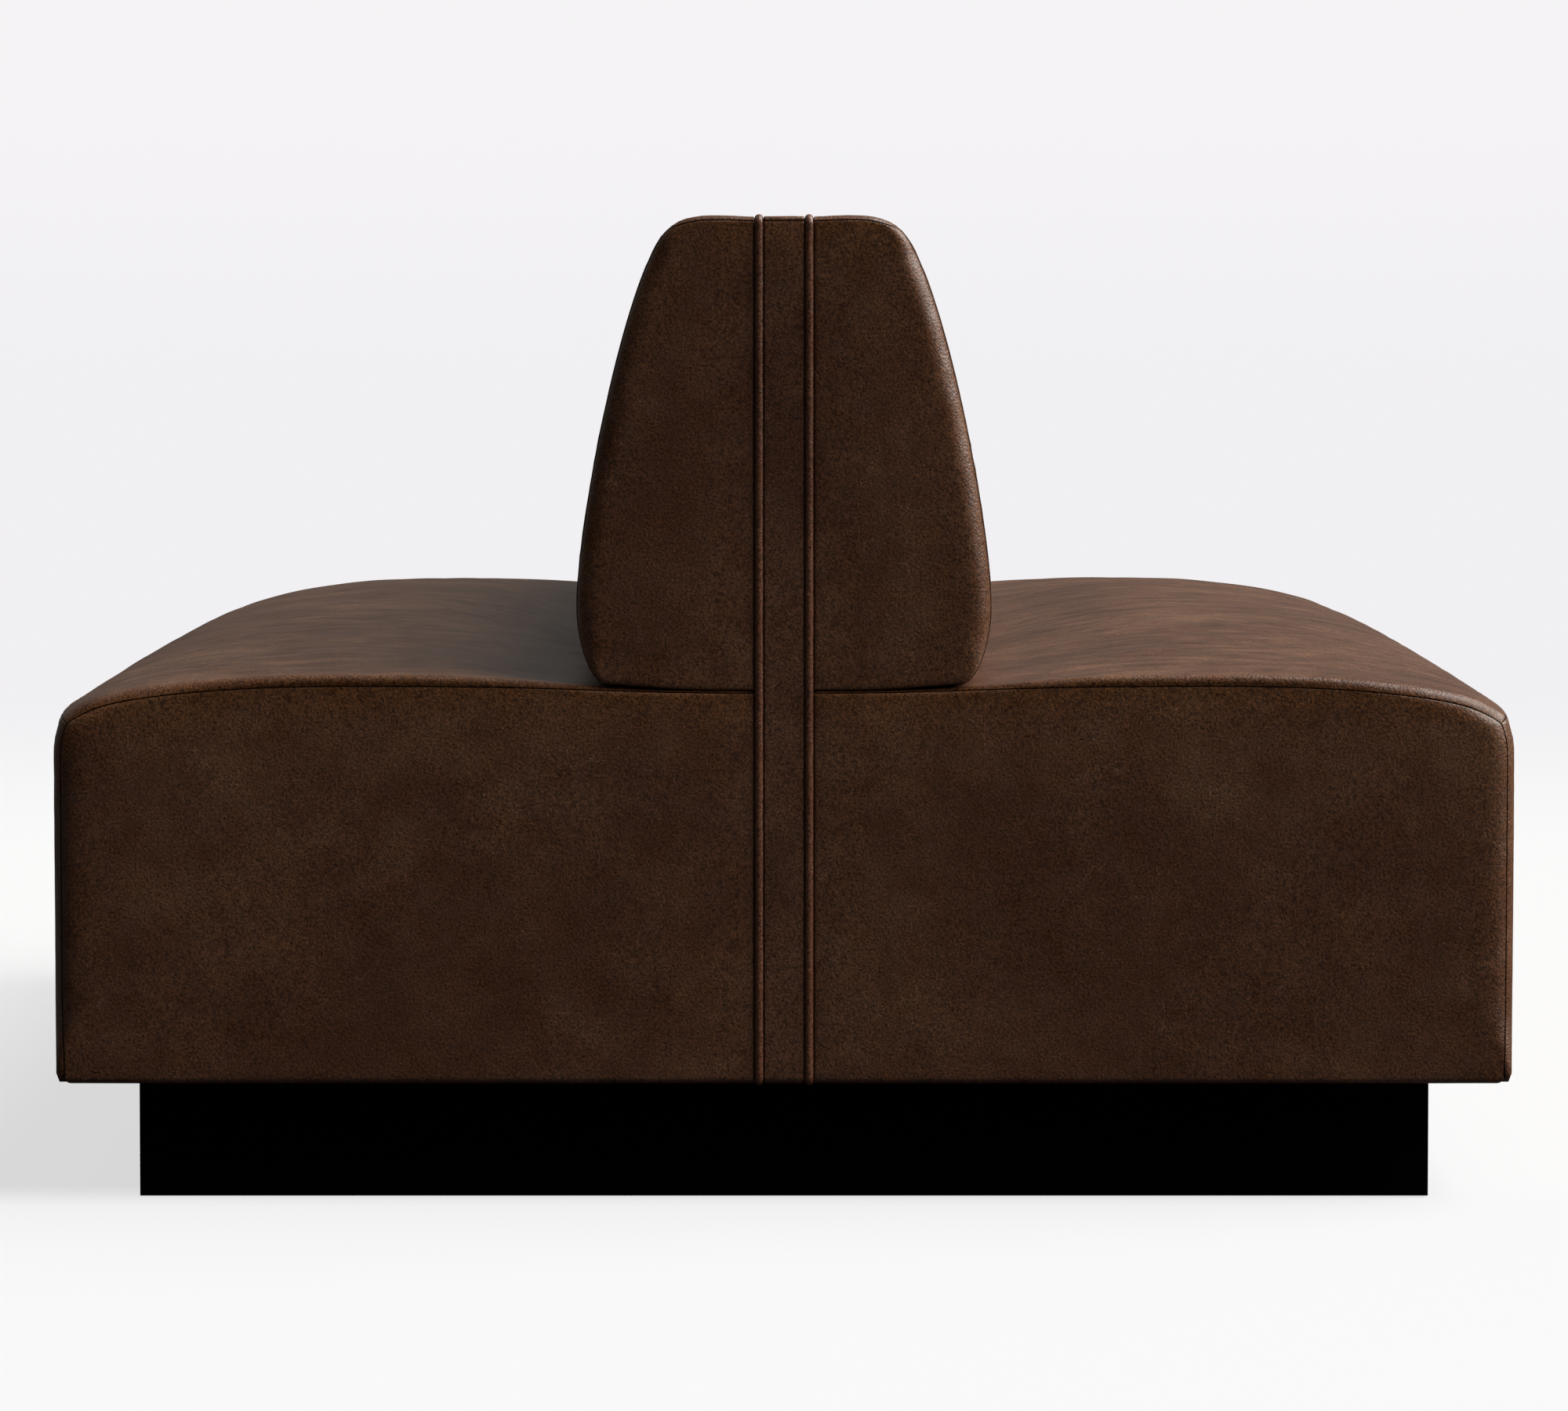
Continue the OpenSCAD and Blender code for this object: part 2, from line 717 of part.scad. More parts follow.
module seat_partitions() {
    color(board_colour) for (s = cross_shares) translate([0, s * inner_y, 0])
        box([-inner_side_x, -board_t / 2, base_top_z], [inner_side_x, board_t / 2, partition_top_z]);
}

module centre_beam() {
    color(timber_colour) difference() {
        box([beam_x, -inner_y, partition_top_z], [beam_out_x, inner_y, base_board_z]);
        for (s = fixing_shares)
            translate([beam_x + beam_t / 2, s * inner_y, base_board_z + overrun]) mirror([0, 0, 1])
                cylinder(d = coach_d + fit_gap, h = coach_l - board_t + 2 * overrun, $fn = round_fn);
    }
}

module seat_front_rails() {
    color(timber_colour) both_sides() box(
        [inner_side_x - deck_rail_w, -inner_y, partition_top_z], [inner_side_x, inner_y, deck_z]
    );
}

module seat_back_rails() {
    color(timber_colour) both_sides() box(
        [beam_out_x, -inner_y, partition_top_z], [beam_out_x + deck_rail_w, inner_y, deck_z]
    );
}

module seat_webbing() {
    pitch = 2 * inner_y / seat_straps;
    color(webbing_colour) both_sides() for (k = [0:seat_straps - 1])
        translate([0, (k + 0.5) * pitch - inner_y, 0])
            box([beam_out_x, -strap_w / 2, deck_z], [inner_side_x, strap_w / 2, hessian_z]);
}

module seat_hessian() {
    color(hessian_colour) both_sides()
        box([beam_out_x, -board_y, hessian_z], [board_side_x, board_y, foam_z]);
}

// Grooves for the two welts in the padding behind them
module welt_grooves(z0, z1) {
    w = welt_d / 2 + fit_gap;
    both_sides() box(
        [welt_gap / 2 - w, -face_y - overrun, z0], [welt_gap / 2 + w, -face_y + groove_d, z1]
    );
}

module seat_end_pad() {
    x = board_side_x - ease;
    top = saddle_z - hide_t - 2 * ease - seat_roll;
    low = frame_z + bottom_r;
    color(pad_colour) difference() {
        drawn(-pad_y, -board_y) polygon([
            [-x, low], [x, low], [x, foam_z - ease], [beam_out_x, foam_z - ease],
            [beam_out_x, top], [-beam_out_x, top], [-beam_out_x, foam_z - ease], [-x, foam_z - ease]
        ]);
        welt_grooves(low - overrun, top + overrun);
    }
}

// Back frame
module back_base_board() {
    x = back_base_w / 2;
    color(board_colour) difference() {
        box([-x, -board_y, base_board_z], [x, board_y, back_frame_z]);
        both_sides() for (s = fixing_shares)
            translate([beam_x + beam_t / 2, s * inner_y, base_board_z - overrun])
                cylinder(d = coach_d + fit_gap, h = board_t + 2 * overrun, $fn = round_fn);
    }
}

module back_ribs() {
    lo = back_frame_x - back_rail_t;
    hi = back_frame_top_x - back_rail_t;
    color(board_colour) for (s = cross_shares) translate([0, s * inner_y, 0])
        drawn(-board_t / 2, board_t / 2)
            polygon([[-lo, back_frame_z], [lo, back_frame_z], [hi, cap_z], [-hi, cap_z]]);
}

module back_end_board() {
    lo = back_frame_x;
    hi = back_frame_top_x;
    color(board_colour) drawn(-board_y, -inner_y)
        polygon([[-lo, back_frame_z], [lo, back_frame_z], [hi, cap_z], [-hi, cap_z]]);
}

// Rail whose outer face follows the lean of the back frame, from z0 to z1
module back_rail(z0, z1) {
    a = back_frame_at(z0);
    b = back_frame_at(z1);
    color(timber_colour) both_sides() drawn(-inner_y, inner_y)
        polygon([[a - back_rail_t, z0], [a, z0], [b, z1], [b - back_rail_t, z1]]);
}

module back_lower_rails() { back_rail(back_frame_z, back_frame_z + back_lower_rail_h); }
module back_upper_rails() { back_rail(cap_z - back_upper_rail_h, cap_z); }

module back_cap_board() {
    x = back_frame_top_x;
    color(board_colour) box([-x, -board_y, cap_z], [x, board_y, cap_top_z]);
}

module back_webbing() {
    pitch = 2 * inner_y / back_straps;
    z0 = back_frame_z;
    z1 = cap_z;
    a = back_frame_at(z0);
    b = back_frame_at(z1);
    color(webbing_colour) both_sides() for (k = [0:back_straps - 1])
        translate([0, (k + 0.5) * pitch - inner_y, 0]) drawn(-strap_w / 2, strap_w / 2)
            polygon([[a, z0], [a + strap_t, z0], [b + strap_t, z1], [b, z1]]);
}

module back_end_pads() {
    lo = back_frame_x;
    hi = back_frame_top_x;
    color(pad_colour) for (end = [0, 1]) mirror([0, end, 0]) difference() {
        drawn(-pad_y, -board_y) polygon([
            [-lo, back_frame_z], [lo, back_frame_z], [hi, cap_z], [hi, cap_top_z],
            [-hi, cap_top_z], [-hi, cap_z]
        ]);
        welt_grooves(back_frame_z - overrun, cap_top_z + overrun);
    }
}

// Filler between the two back foams, under the strip and the welts
module top_filler() {
    y = face_y - roll_run - ease;
    top = bench_h - hide_t - ease;
    w = welt_d / 2 + fit_gap;
    color(foam_colour) difference() {
        box([-trim_x, -y, cap_top_z], [trim_x, y, top]);
        both_sides() box(
            [welt_gap / 2 - w, -y - overrun, bench_h - groove_d],
            [trim_x + overrun, y + overrun, top + overrun]
        );
    }
}

// Screw standing on its point at the origin: shank of one diameter and length, round head on top
module screw(d, l, head_d, head_h) {
    cylinder(d = d, h = l, $fn = screw_fn);
    translate([0, 0, l]) cylinder(d = head_d, h = head_h, $fn = screw_fn);
}

module frame_screws() {
    color(steel_colour) both_sides() for (s = fixing_shares)
        translate([plinth_x - board_t / 2, s * inner_y, base_top_z - screw_l])
            screw(screw_d, screw_l, screw_d * head_d_ratio, screw_d * head_h_ratio);
}

module coach_screws() {
    color(steel_colour) both_sides() for (s = fixing_shares)
        translate([beam_x + beam_t / 2, s * inner_y, back_frame_z - coach_l]) {
            screw(coach_d, coach_l, coach_d * washer_d_ratio, washer_t);
            translate([0, 0, coach_l + washer_t])
                cylinder(d = coach_d * head_d_ratio, h = coach_d * head_h_ratio, $fn = 6);
        }
}

module plinth_side_left() { other_side() plinth_side(); }
module plinth_side_right() { plinth_side(); }
module plinth_end_a() { plinth_end(); }
module plinth_end_b() { other_end() plinth_end(); }

plinth_side_left();
plinth_side_right();
plinth_end_a();
plinth_end_b();
plinth_cross_rails();
plinth_corner_blocks();
plinth_glides();
other_side() base_rail();  // base_rail_left
base_rail();  // base_rail_right
base_cross_rails();
dust_cover();
other_side() seat_side_board();  // seat_side_board_left
seat_side_board();  // seat_side_board_right
seat_end_board();  // seat_end_board_a
other_end() seat_end_board();  // seat_end_board_b
seat_partitions();
other_side() centre_beam();  // centre_beam_left
centre_beam();  // centre_beam_right
seat_front_rails();
seat_back_rails();
seat_webbing();
seat_hessian();
other_side() seat_foam();  // seat_foam_left
seat_foam();  // seat_foam_right
other_side() side_pad();  // side_pad_left
side_pad();  // side_pad_right
seat_end_pad();  // seat_end_pad_a
other_end() seat_end_pad();  // seat_end_pad_b
back_base_board();
back_ribs();
back_end_board();  // back_end_board_a
other_end() back_end_board();  // back_end_board_b
back_lower_rails();
back_upper_rails();
back_cap_board();
back_webbing();
other_side() back_foam();  // back_foam_left
back_foam();  // back_foam_right
back_end_pads();
top_filler();
other_side() seat_leather();  // seat_leather_left
seat_leather();  // seat_leather_right
other_side() side_leather();  // side_leather_left
side_leather();  // side_leather_right
other_side() seat_end_leather();  // seat_end_leather_a_left
seat_end_leather();  // seat_end_leather_a_right
other_end() other_side() seat_end_leather();  // seat_end_leather_b_left
other_end() seat_end_leather();  // seat_end_leather_b_right
other_side() back_leather();  // back_leather_left
back_leather();  // back_leather_right
other_side() back_end_leather();  // back_end_leather_a_left
back_end_leather();  // back_end_leather_a_right
other_end() other_side() back_end_leather();  // back_end_leather_b_left
other_end() back_end_leather();  // back_end_leather_b_right
strip_leather();
other_side() welt();  // welt_left
welt();  // welt_right
welt_cords();
coach_screws();
frame_screws();
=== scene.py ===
"""Double-sided banquette bench: the looks of each piece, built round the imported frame."""
import json
import math

import bmesh
import bpy
import numpy as np
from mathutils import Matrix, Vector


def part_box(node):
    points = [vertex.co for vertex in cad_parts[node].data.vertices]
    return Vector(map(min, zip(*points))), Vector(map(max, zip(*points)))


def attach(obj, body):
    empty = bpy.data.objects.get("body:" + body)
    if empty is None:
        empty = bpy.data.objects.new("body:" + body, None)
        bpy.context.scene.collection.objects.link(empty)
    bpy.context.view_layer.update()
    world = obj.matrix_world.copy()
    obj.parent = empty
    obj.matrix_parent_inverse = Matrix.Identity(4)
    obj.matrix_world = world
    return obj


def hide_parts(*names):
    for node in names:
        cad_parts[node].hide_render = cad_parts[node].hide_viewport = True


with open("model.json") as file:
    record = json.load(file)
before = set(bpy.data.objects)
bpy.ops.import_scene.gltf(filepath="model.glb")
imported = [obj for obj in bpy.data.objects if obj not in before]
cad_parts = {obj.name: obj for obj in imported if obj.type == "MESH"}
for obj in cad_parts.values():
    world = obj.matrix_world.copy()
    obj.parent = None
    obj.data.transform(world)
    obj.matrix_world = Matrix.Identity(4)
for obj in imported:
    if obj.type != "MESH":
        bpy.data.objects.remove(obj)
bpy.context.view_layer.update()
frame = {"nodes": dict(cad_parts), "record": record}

MM = 0.001
SEED = 7


# Sizes read from the frame, in metres
def low(node):
    """Lowest corner of a CAD node."""
    return np.array(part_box(node)[0])


def high(node):
    """Highest corner of a CAD node."""
    return np.array(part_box(node)[1])


side_x = high("side_leather_right")[0]
block_z = low("side_leather_right")[2]
bench_h = high("back_leather_right")[2]
face_y = high("strip_leather")[1]
foam_z = low("seat_foam_right")[2]
deck_z = low("seat_webbing")[2]
cap_top_z = high("back_cap_board")[2]
cap_z = low("back_cap_board")[2]
base_board_z = low("back_base_board")[2]
back_frame_z = high("back_base_board")[2]
inner_y = high("centre_beam_right")[1]
beam_out_x = high("centre_beam_right")[0]
back_frame_x = high("back_end_board_a")[0]
back_frame_top_x = high("back_cap_board")[0]
end_board_y = high("seat_end_board_b")[1]
side_board_x = high("seat_side_board_right")[0]

# Sizes of the seat's and the backrest's sections
crest_x = 386 * MM
seat_roll = 6 * MM
seat_h = 460.5 * MM
seam_fall = 5.8 * MM
seam_power = 1.6
seam_drop = 10.2 * MM
seat_fall = 12.5 * MM
shoulder_h = 42 * MM
seat_crown = 24.5 * MM
back_wide_z = seat_h + 65 * MM
back_x = 181 * MM
back_shoulder_x = 112.25 * MM
back_shoulder_h = 26.5 * MM
back_top_x = 70 * MM
back_top_crown = 1 * MM
back_top_crown_w = 62 * MM
back_foot_x = 156.5 * MM
back_crown = 5 * MM
face_lean = 34 * MM
foot_gap = 2 * MM
foot_closed = 100 * MM
back_flap_w = 36 * MM
bottom_r = 5.9 * MM
flap_w = 38 * MM
hide_t = 1.5 * MM
corner_draw = 6.9 * MM
strap_w = 50 * MM
strap_t = 2 * MM
strap_sag = 2.5 * MM
strap_rail_w = 42 * MM
hessian_t = 0.8 * MM
dust_cover_t = 0.6 * MM
dust_cover_sag = 5 * MM
seat_straps = 13
back_straps = 11
welt_gap = 43.5 * MM
welt_r = 3.85 * MM
welt_sink = 2 * MM
cord_r = 2.5 * MM
cord_lay = 14 * MM
edge_r = 6.5 * MM
strip_edge_r = 4 * MM
end_crown = 1.2 * MM
ease = 0.5 * MM
fit_gap = 0.2 * MM
shoulder_seam_angle = math.radians(7)
side_draw = 0.5 * MM
low_draw = 1.8 * MM
low_draw_h = 60 * MM
fall_power = 1.8
shoulder_pull_share = 0.36

crest_z = seat_h + seat_roll
shoulder_z = crest_z - shoulder_h
trim_x = welt_gap / 2 + welt_r + fit_gap
strip_x = welt_gap / 2 - welt_r - fit_gap
seat_in_x = beam_out_x + 2 * ease
seat_flat_x = high("back_base_board")[0] + ease

# How the leather turns round the ends: corner radius, and how far in from the outline its seam lies
top_corner_r = 7 * MM
side_corner_r = 24 * MM
side_seam_in = 7.6 * MM
back_top_corner_r = 7 * MM
back_top_seam_in = 4 * MM
back_side_corner_r = 18 * MM
back_side_seam_in = 0.4 * MM
back_seam_run = 13 * MM
foot_corner_r = 4.5 * MM
seam_r = 1.0 * MM
trim_r = 2.2 * MM
trim_pull = 0.9 * MM
trim_reach = 14 * MM
strip_crown = 0.4 * MM


# The camera stands where the photograph was taken from
def make_camera():
    """Camera square on to the near end, at a seated eye's height, tilted down a little."""
    lens_mm = 151.68
    distance = 5.736
    height = 0.777
    tilt_down = 3.363
    data = bpy.data.cameras.new("camera")
    data.sensor_width = 36
    data.lens = lens_mm
    data.clip_end = 300
    camera = bpy.data.objects.new("camera", data)
    camera.location = (0, -face_y - distance, height)
    camera.rotation_euler = (math.radians(90 - tilt_down), 0, 0)
    bpy.context.scene.collection.objects.link(camera)
    bpy.context.scene.camera = camera


make_camera()


# Meshes
def build(name, points, faces, values=None, uv=None):
    """Object with its place in its mesh, from points (k, 3), quads (f, 4), point values and UV pairs."""
    mesh = bpy.data.meshes.new(name)
    mesh.vertices.add(len(points))
    mesh.vertices.foreach_set("co", points.astype(np.float32).ravel())
    mesh.loops.add(faces.size)
    mesh.loops.foreach_set("vertex_index", faces.astype(np.int32).ravel())
    mesh.polygons.add(len(faces))
    mesh.polygons.foreach_set("loop_start", np.arange(0, faces.size, 4, dtype=np.int32))
    mesh.polygons.foreach_set("use_smooth", np.ones(len(faces), bool))
    mesh.update(calc_edges=True)
    for key, value in (values or {}).items():
        data = mesh.attributes.new(key, "FLOAT", "POINT").data
        data.foreach_set("value", np.broadcast_to(value, len(points)).astype(np.float32))
    if uv is not None:
        layer = mesh.uv_layers.new(name="UVMap")
        layer.data.foreach_set("uv", uv[faces.ravel()].astype(np.float32).ravel())
    piece = bpy.data.objects.new(name, mesh)
    bpy.context.scene.collection.objects.link(piece)
    return piece


def quads(index):
    """Quads between the neighbours of a grid of point numbers."""
    corners = (index[:-1, :-1], index[1:, :-1], index[1:, 1:], index[:-1, 1:])
    return np.stack(corners, -1).reshape(-1, 4)


def outwards(points, faces, inside):
    """The faces, turned round if they face the point inside rather than away from it."""
    a, b, c = (points[faces[:, k]] for k in range(3))
    normal = np.cross(b - a, c - a)
    away = ((a - np.array(inside)) * normal).sum()
    return faces if away > 0 else faces[:, ::-1]


def skin(name, grid, inside, values=None, uv=None):
    """Open sheet through a grid of points (n, m, 3), facing away from the point inside."""
    n, m = grid.shape[:2]
    points = grid.reshape(-1, 3)
    faces = outwards(points, quads(np.arange(n * m).reshape(n, m)), inside)
    values = {k: np.broadcast_to(v, (n, m)).ravel() for k, v in (values or {}).items()}
    return build(name, points, faces, values, None if uv is None else uv.reshape(-1, 2))


def block(name, outer, inner, inside, uv=None):
    """Closed solid between an outer grid of points and an inner one of the same shape."""
    n, m = outer.shape[:2]
    points = np.concatenate([outer.reshape(-1, 3), inner.reshape(-1, 3)])
    out = np.arange(n * m).reshape(n, m)
    into = out + n * m
    rims = [
        np.stack([out[0], into[0]]), np.stack([into[-1], out[-1]]),
        np.stack([into[:, 0], out[:, 0]]), np.stack([out[:, -1], into[:, -1]]),
    ]
    faces = np.concatenate([quads(out), quads(into)[:, ::-1], *[quads(r) for r in rims]])
    piece = build(name, points, outwards(points, faces, inside), None,
                  None if uv is None else np.concatenate([uv, uv]).reshape(-1, 2))
    piece.data.set_sharp_from_angle(angle=math.radians(45))
    return piece


# Curves and profiles
def soft_step(t):
    """Rises from 0 to 1 along half a cosine wave."""
    return (1 - np.cos(np.pi * np.clip(t, 0, 1))) / 2


def mix(a, b, t):
    """Value at a share t of the way from a to b."""
    return a + (b - a) * t


def roll(distance, radius):
    """Depth of a quarter circle of that radius, which starts at its full depth and ends level."""
    return radius - np.sqrt(np.clip(radius**2 - np.clip(radius - distance, 0, radius) ** 2, 0, None))


def cubic(a, b, c, d, t):
    """Point on a cubic curve with the four control points, at shares t of its way."""
    t = t[:, None]
    return (1 - t) ** 3 * a + 3 * (1 - t) ** 2 * t * b + 3 * (1 - t) * t**2 * c + t**3 * d


def quadratic(a, b, c, t):
    """Point on a quadratic curve with the three control points, at shares t of its way."""
    t = t[:, None]
    return (1 - t) ** 2 * a + 2 * (1 - t) * t * b + t**2 * c


def lengths(line):
    """Distance along a line at each of its points."""
    return np.concatenate([[0], np.cumsum(np.linalg.norm(np.diff(line, axis=0), axis=1))])


def at(line, where, values):
    """Values given at a line's points, read at distances along it."""
    s = lengths(line)
    if np.ndim(values) == 1:
        return np.interp(where, s, values)
    return np.stack([np.interp(where, s, values[:, k]) for k in range(values.shape[1])], -1)


def across(line):
    """Unit vectors square to a line of points in a plane, to the left of its way."""
    way = np.gradient(line, axis=0)
    way /= np.linalg.norm(way, axis=1)[:, None]
    return np.stack([-way[:, 1], way[:, 0]], -1)


def stations(length, step, fine=(0, 0.3, 0.8, 1.5, 2.6, 4.2, 6.5, 10), ends=(True, True)):
    """Distances from 0 to a length: even steps, with fine ones in millimetres beside the ends that ask."""
    near = np.array(fine) * MM
    a = near if ends[0] else near[:1]
    b = length - (near[::-1] if ends[1] else near[:1])
    count = max(2, int(round((b[0] - a[-1]) / step)))
    return np.concatenate([a, np.linspace(a[-1], b[0], count + 1)[1:-1], b])


def waves(points, wavelengths, seed):
    """Smooth unevenness between about -1 and 1: a sum of sine waves along seeded directions in space."""
    rng = np.random.default_rng(seed)
    total = np.zeros(points.shape[:-1])
    for length in wavelengths:
        way = rng.normal(size=3)
        way /= np.linalg.norm(way)
        bend = rng.normal(size=3) / (4 * length)
        phase = points @ way * (2 * np.pi / length) + rng.uniform(0, 2 * np.pi)
        total += np.sin(phase + 0.8 * np.sin(points @ bend * 2 * np.pi))
    return total / math.sqrt(len(wavelengths))


# Sections: one side's outline in X and Z, from the centre line outwards and down
def make_section(shape, step, ends):
    """A shape sampled at stations along its line, with its outward direction."""
    line = shape["line"]
    s = stations(lengths(line)[-1], step, ends=ends)
    out = at(line, s, across(line))
    out /= np.linalg.norm(out, axis=1)[:, None]
    sampled = {key: at(line, s, value) for key, value in shape.items() if key != "line"}
    return {"s": s, "point": at(line, s, line), "out": out, **sampled}


def seat_full_z(x):
    """Height of the seat top at an X: a powered cosine rise from the backrest's foot to the crest."""
    return crest_z - seat_fall * soft_step((crest_x - x) / (crest_x - seat_flat_x)) ** fall_power


def seat_seam_z(x):
    """Height of the seat's end seam at an X: the same kind of rise, a little lower."""
    return crest_z - seam_drop - seam_fall * soft_step((crest_x - x) / (crest_x - trim_x)) ** seam_power


def seat_shoulder(angles):
    """Points of the ellipse round the seat's shoulder, by its angle from the level."""
    x = crest_x + (side_x - crest_x) * np.cos(angles)
    return np.stack([x, shoulder_z + shoulder_h * np.sin(angles)], -1)


def seat_line():
    """Seat top: level beside the welt, a cosine rise to the crest, and a quarter ellipse to the seam."""
    x = np.linspace(trim_x, crest_x, 200)
    angles = np.linspace(math.pi / 2, shoulder_seam_angle, 160)[1:]
    flat = np.stack([x, seat_full_z(x)], -1)
    line = np.concatenate([flat, seat_shoulder(angles)])
    turn = np.concatenate([np.zeros(len(x)), soft_step(1 - angles / (math.pi / 2))])
    rise_flat = soft_step((x - back_foot_x) / (crest_x - back_foot_x))
    rise = seat_crown * np.concatenate([rise_flat, np.sin(angles)])
    seam_in = np.concatenate([seat_full_z(x) - seat_seam_z(x), mix(seam_drop, side_seam_in, turn[len(x):])])
    return {
        "line": line,
        "rise": np.stack([np.zeros(len(line)), rise], -1),
        "radius": mix(top_corner_r, side_corner_r, turn),
        "seam_in": seam_in,
    }


def side_line():
    """Long side: the rest of the ellipse, a nearly upright face drawn in below, the corner and the flap."""
    angles = np.linspace(shoulder_seam_angle, 0, 14)
    z = np.linspace(shoulder_z, block_z + bottom_r, 120)[1:]
    drop = (shoulder_z - z) / (shoulder_z - block_z)
    drawn_in = low_draw * (1 - soft_step((z - block_z - bottom_r) / low_draw_h))
    face = np.stack([side_x - side_draw * drop**2 - drawn_in, z], -1)
    corner = np.linspace(0, math.pi / 2, 24)[1:]
    foot_x = face[-1, 0]
    turn = np.stack([foot_x - bottom_r * (1 - np.cos(corner)), block_z + bottom_r * (1 - np.sin(corner))], -1)
    flap_x = np.linspace(foot_x - bottom_r, foot_x - flap_w, 16)[1:]
    flap = np.stack([flap_x, np.full(len(flap_x), block_z)], -1)
    line = np.concatenate([seat_shoulder(angles), face, turn, flap])
    above = soft_step((line[:, 1] - block_z - bottom_r) / low_draw_h)
    tuck = np.where(line[:, 1] < block_z + bottom_r, foot_x - line[:, 0], 0)
    return {
        "line": line,
        "rise": np.zeros_like(line),
        "radius": mix(bottom_r, side_corner_r, above),
        "seam_in": np.full(len(line), side_seam_in),
        "tuck": np.clip(tuck, 0, None),
    }


def back_line():
    """Backrest: flat top, quadratic shoulder, cubic face to the widest line, cubic foot and the flap."""
    top_z = bench_h
    flat = np.array([back_top_x, top_z])
    shoulder = np.array([back_shoulder_x, top_z - back_shoulder_h])
    corner = np.array([back_shoulder_x - face_lean * shoulder_pull_share, top_z - ease])
    widest = np.array([back_x, back_wide_z])
    foot = np.array([back_foot_x, seat_full_z(back_foot_x) + foot_gap])
    flap_x = np.linspace(back_foot_x, back_foot_x - back_flap_w, 16)[1:]
    run = shoulder[1] - widest[1]
    foot_run = widest[1] - foot[1]
    x = np.linspace(trim_x, back_top_x, 30)
    parts = [
        np.stack([x, np.full(len(x), top_z)], -1),
        quadratic(flat, corner, shoulder, np.linspace(0, 1, 40)[1:]),
        cubic(shoulder, shoulder + [face_lean, -run * 0.2], widest + [0, run * 0.2], widest,
              np.linspace(0, 1, 160)[1:]),
        cubic(widest, widest - [0, foot_run / 2], foot + [13 * MM, 5 * MM], foot,
              np.linspace(0, 1, 60)[1:]),
        np.stack([flap_x, seat_full_z(flap_x) + mix(foot_gap, ease, np.linspace(0, 1, 16)[1:])], -1),
    ]
    line = np.concatenate(parts)
    over = np.clip((line[:, 0] - trim_x) / back_top_crown_w, 0, 1)
    high_up = line[:, 1] > top_z - back_shoulder_h / 2
    line[:, 1] += np.where(high_up, back_top_crown * np.sin(math.pi * over) ** 2, 0)
    flap = len(line) - 15
    z = line[:, 1]
    down = soft_step((top_z - z) / (back_shoulder_h * 1.6))
    near_foot = soft_step((z - foot[1]) / (foot_run * 0.6))
    rise = back_crown * soft_step((top_z - z) / back_shoulder_h / 2) * soft_step((z - foot[1]) / foot_run)
    seam_in = mix(back_top_seam_in, back_side_seam_in, soft_step((top_z - z) / back_seam_run))
    radius = mix(back_top_corner_r, back_side_corner_r, down)
    tuck = np.where(np.arange(len(line)) >= flap, foot[0] - line[:, 0], 0)
    return {
        "line": line,
        "rise": across(line) * rise[:, None],
        "radius": mix(foot_corner_r, radius, near_foot),
        "seam_in": mix(0.1 * MM, seam_in, near_foot),
        "tuck": np.clip(tuck, 0, None),
    }


SEAT, SIDE, BACK = seat_line(), side_line(), back_line()
END_FINE = (0, 0.25, 0.6, 1.1, 1.7, 2.6, 3.6, 4.8, 6, 7.4, 8.8, 10.4, 12, 14, 16.5, 20, 25, 31)


def along_length(section, dip, inset=0.0, groove=seam_r, step=8 * MM):
    """Grid over the whole length of a section: at each end the surface runs straight up from its seam, if the
    corner is tighter than the seam's distance from the outline, and turns the rest of a quarter circle of the
    section's radius. At the seam it sinks into the seam's groove. In the middle it has its crown."""
    near = np.array(END_FINE) * MM
    shares = np.linspace(0, 1, int((face_y - near[-1]) / step) + 1)[1:]
    radius, seam_in = section["radius"][:, None], section["seam_in"][:, None]
    tuck = section.get("tuck", np.zeros(len(radius)))[:, None]
    first = np.arcsin(np.clip(1 - seam_in / radius, 0, 1))
    straight = np.maximum(seam_in - radius, 0)
    arc = (math.pi / 2 - first) * radius
    half = straight + arc + face_y - tuck - radius
    distance = np.concatenate([np.broadcast_to(near, (len(radius), len(near))),
                               near[-1] + (half - near[-1]) * shares], 1)
    along = np.maximum(distance - straight, 0)
    turn = np.minimum(first + along / radius, math.pi / 2)
    depth = np.where(along < arc, radius * (1 - np.cos(turn)), radius + along - arc)
    sunk = roll(distance, groove) + inset if groove else np.full(distance.shape, inset)
    fade = soft_step(distance / (5 * MM))
    inward = (radius * (1 - np.sin(turn)) + np.maximum(straight - distance, 0) + sunk * np.sin(turn)
              + dip[:, None] * fade)
    y = face_y - tuck - depth - sunk * np.cos(turn)
    y = np.concatenate([y, -y[:, -2::-1]], 1)
    inward = np.concatenate([inward, inward[:, -2::-1]], 1)
    distance = np.concatenate([distance, distance[:, -2::-1]], 1)
    crown = np.clip(1 - (y / face_y) ** 2, 0, 1)
    plane = (section["point"][:, None] - section["out"][:, None] * inward[..., None]
             + section["rise"][:, None] * crown[..., None])
    return np.stack([plane[..., 0], y, plane[..., 1]], -1), distance


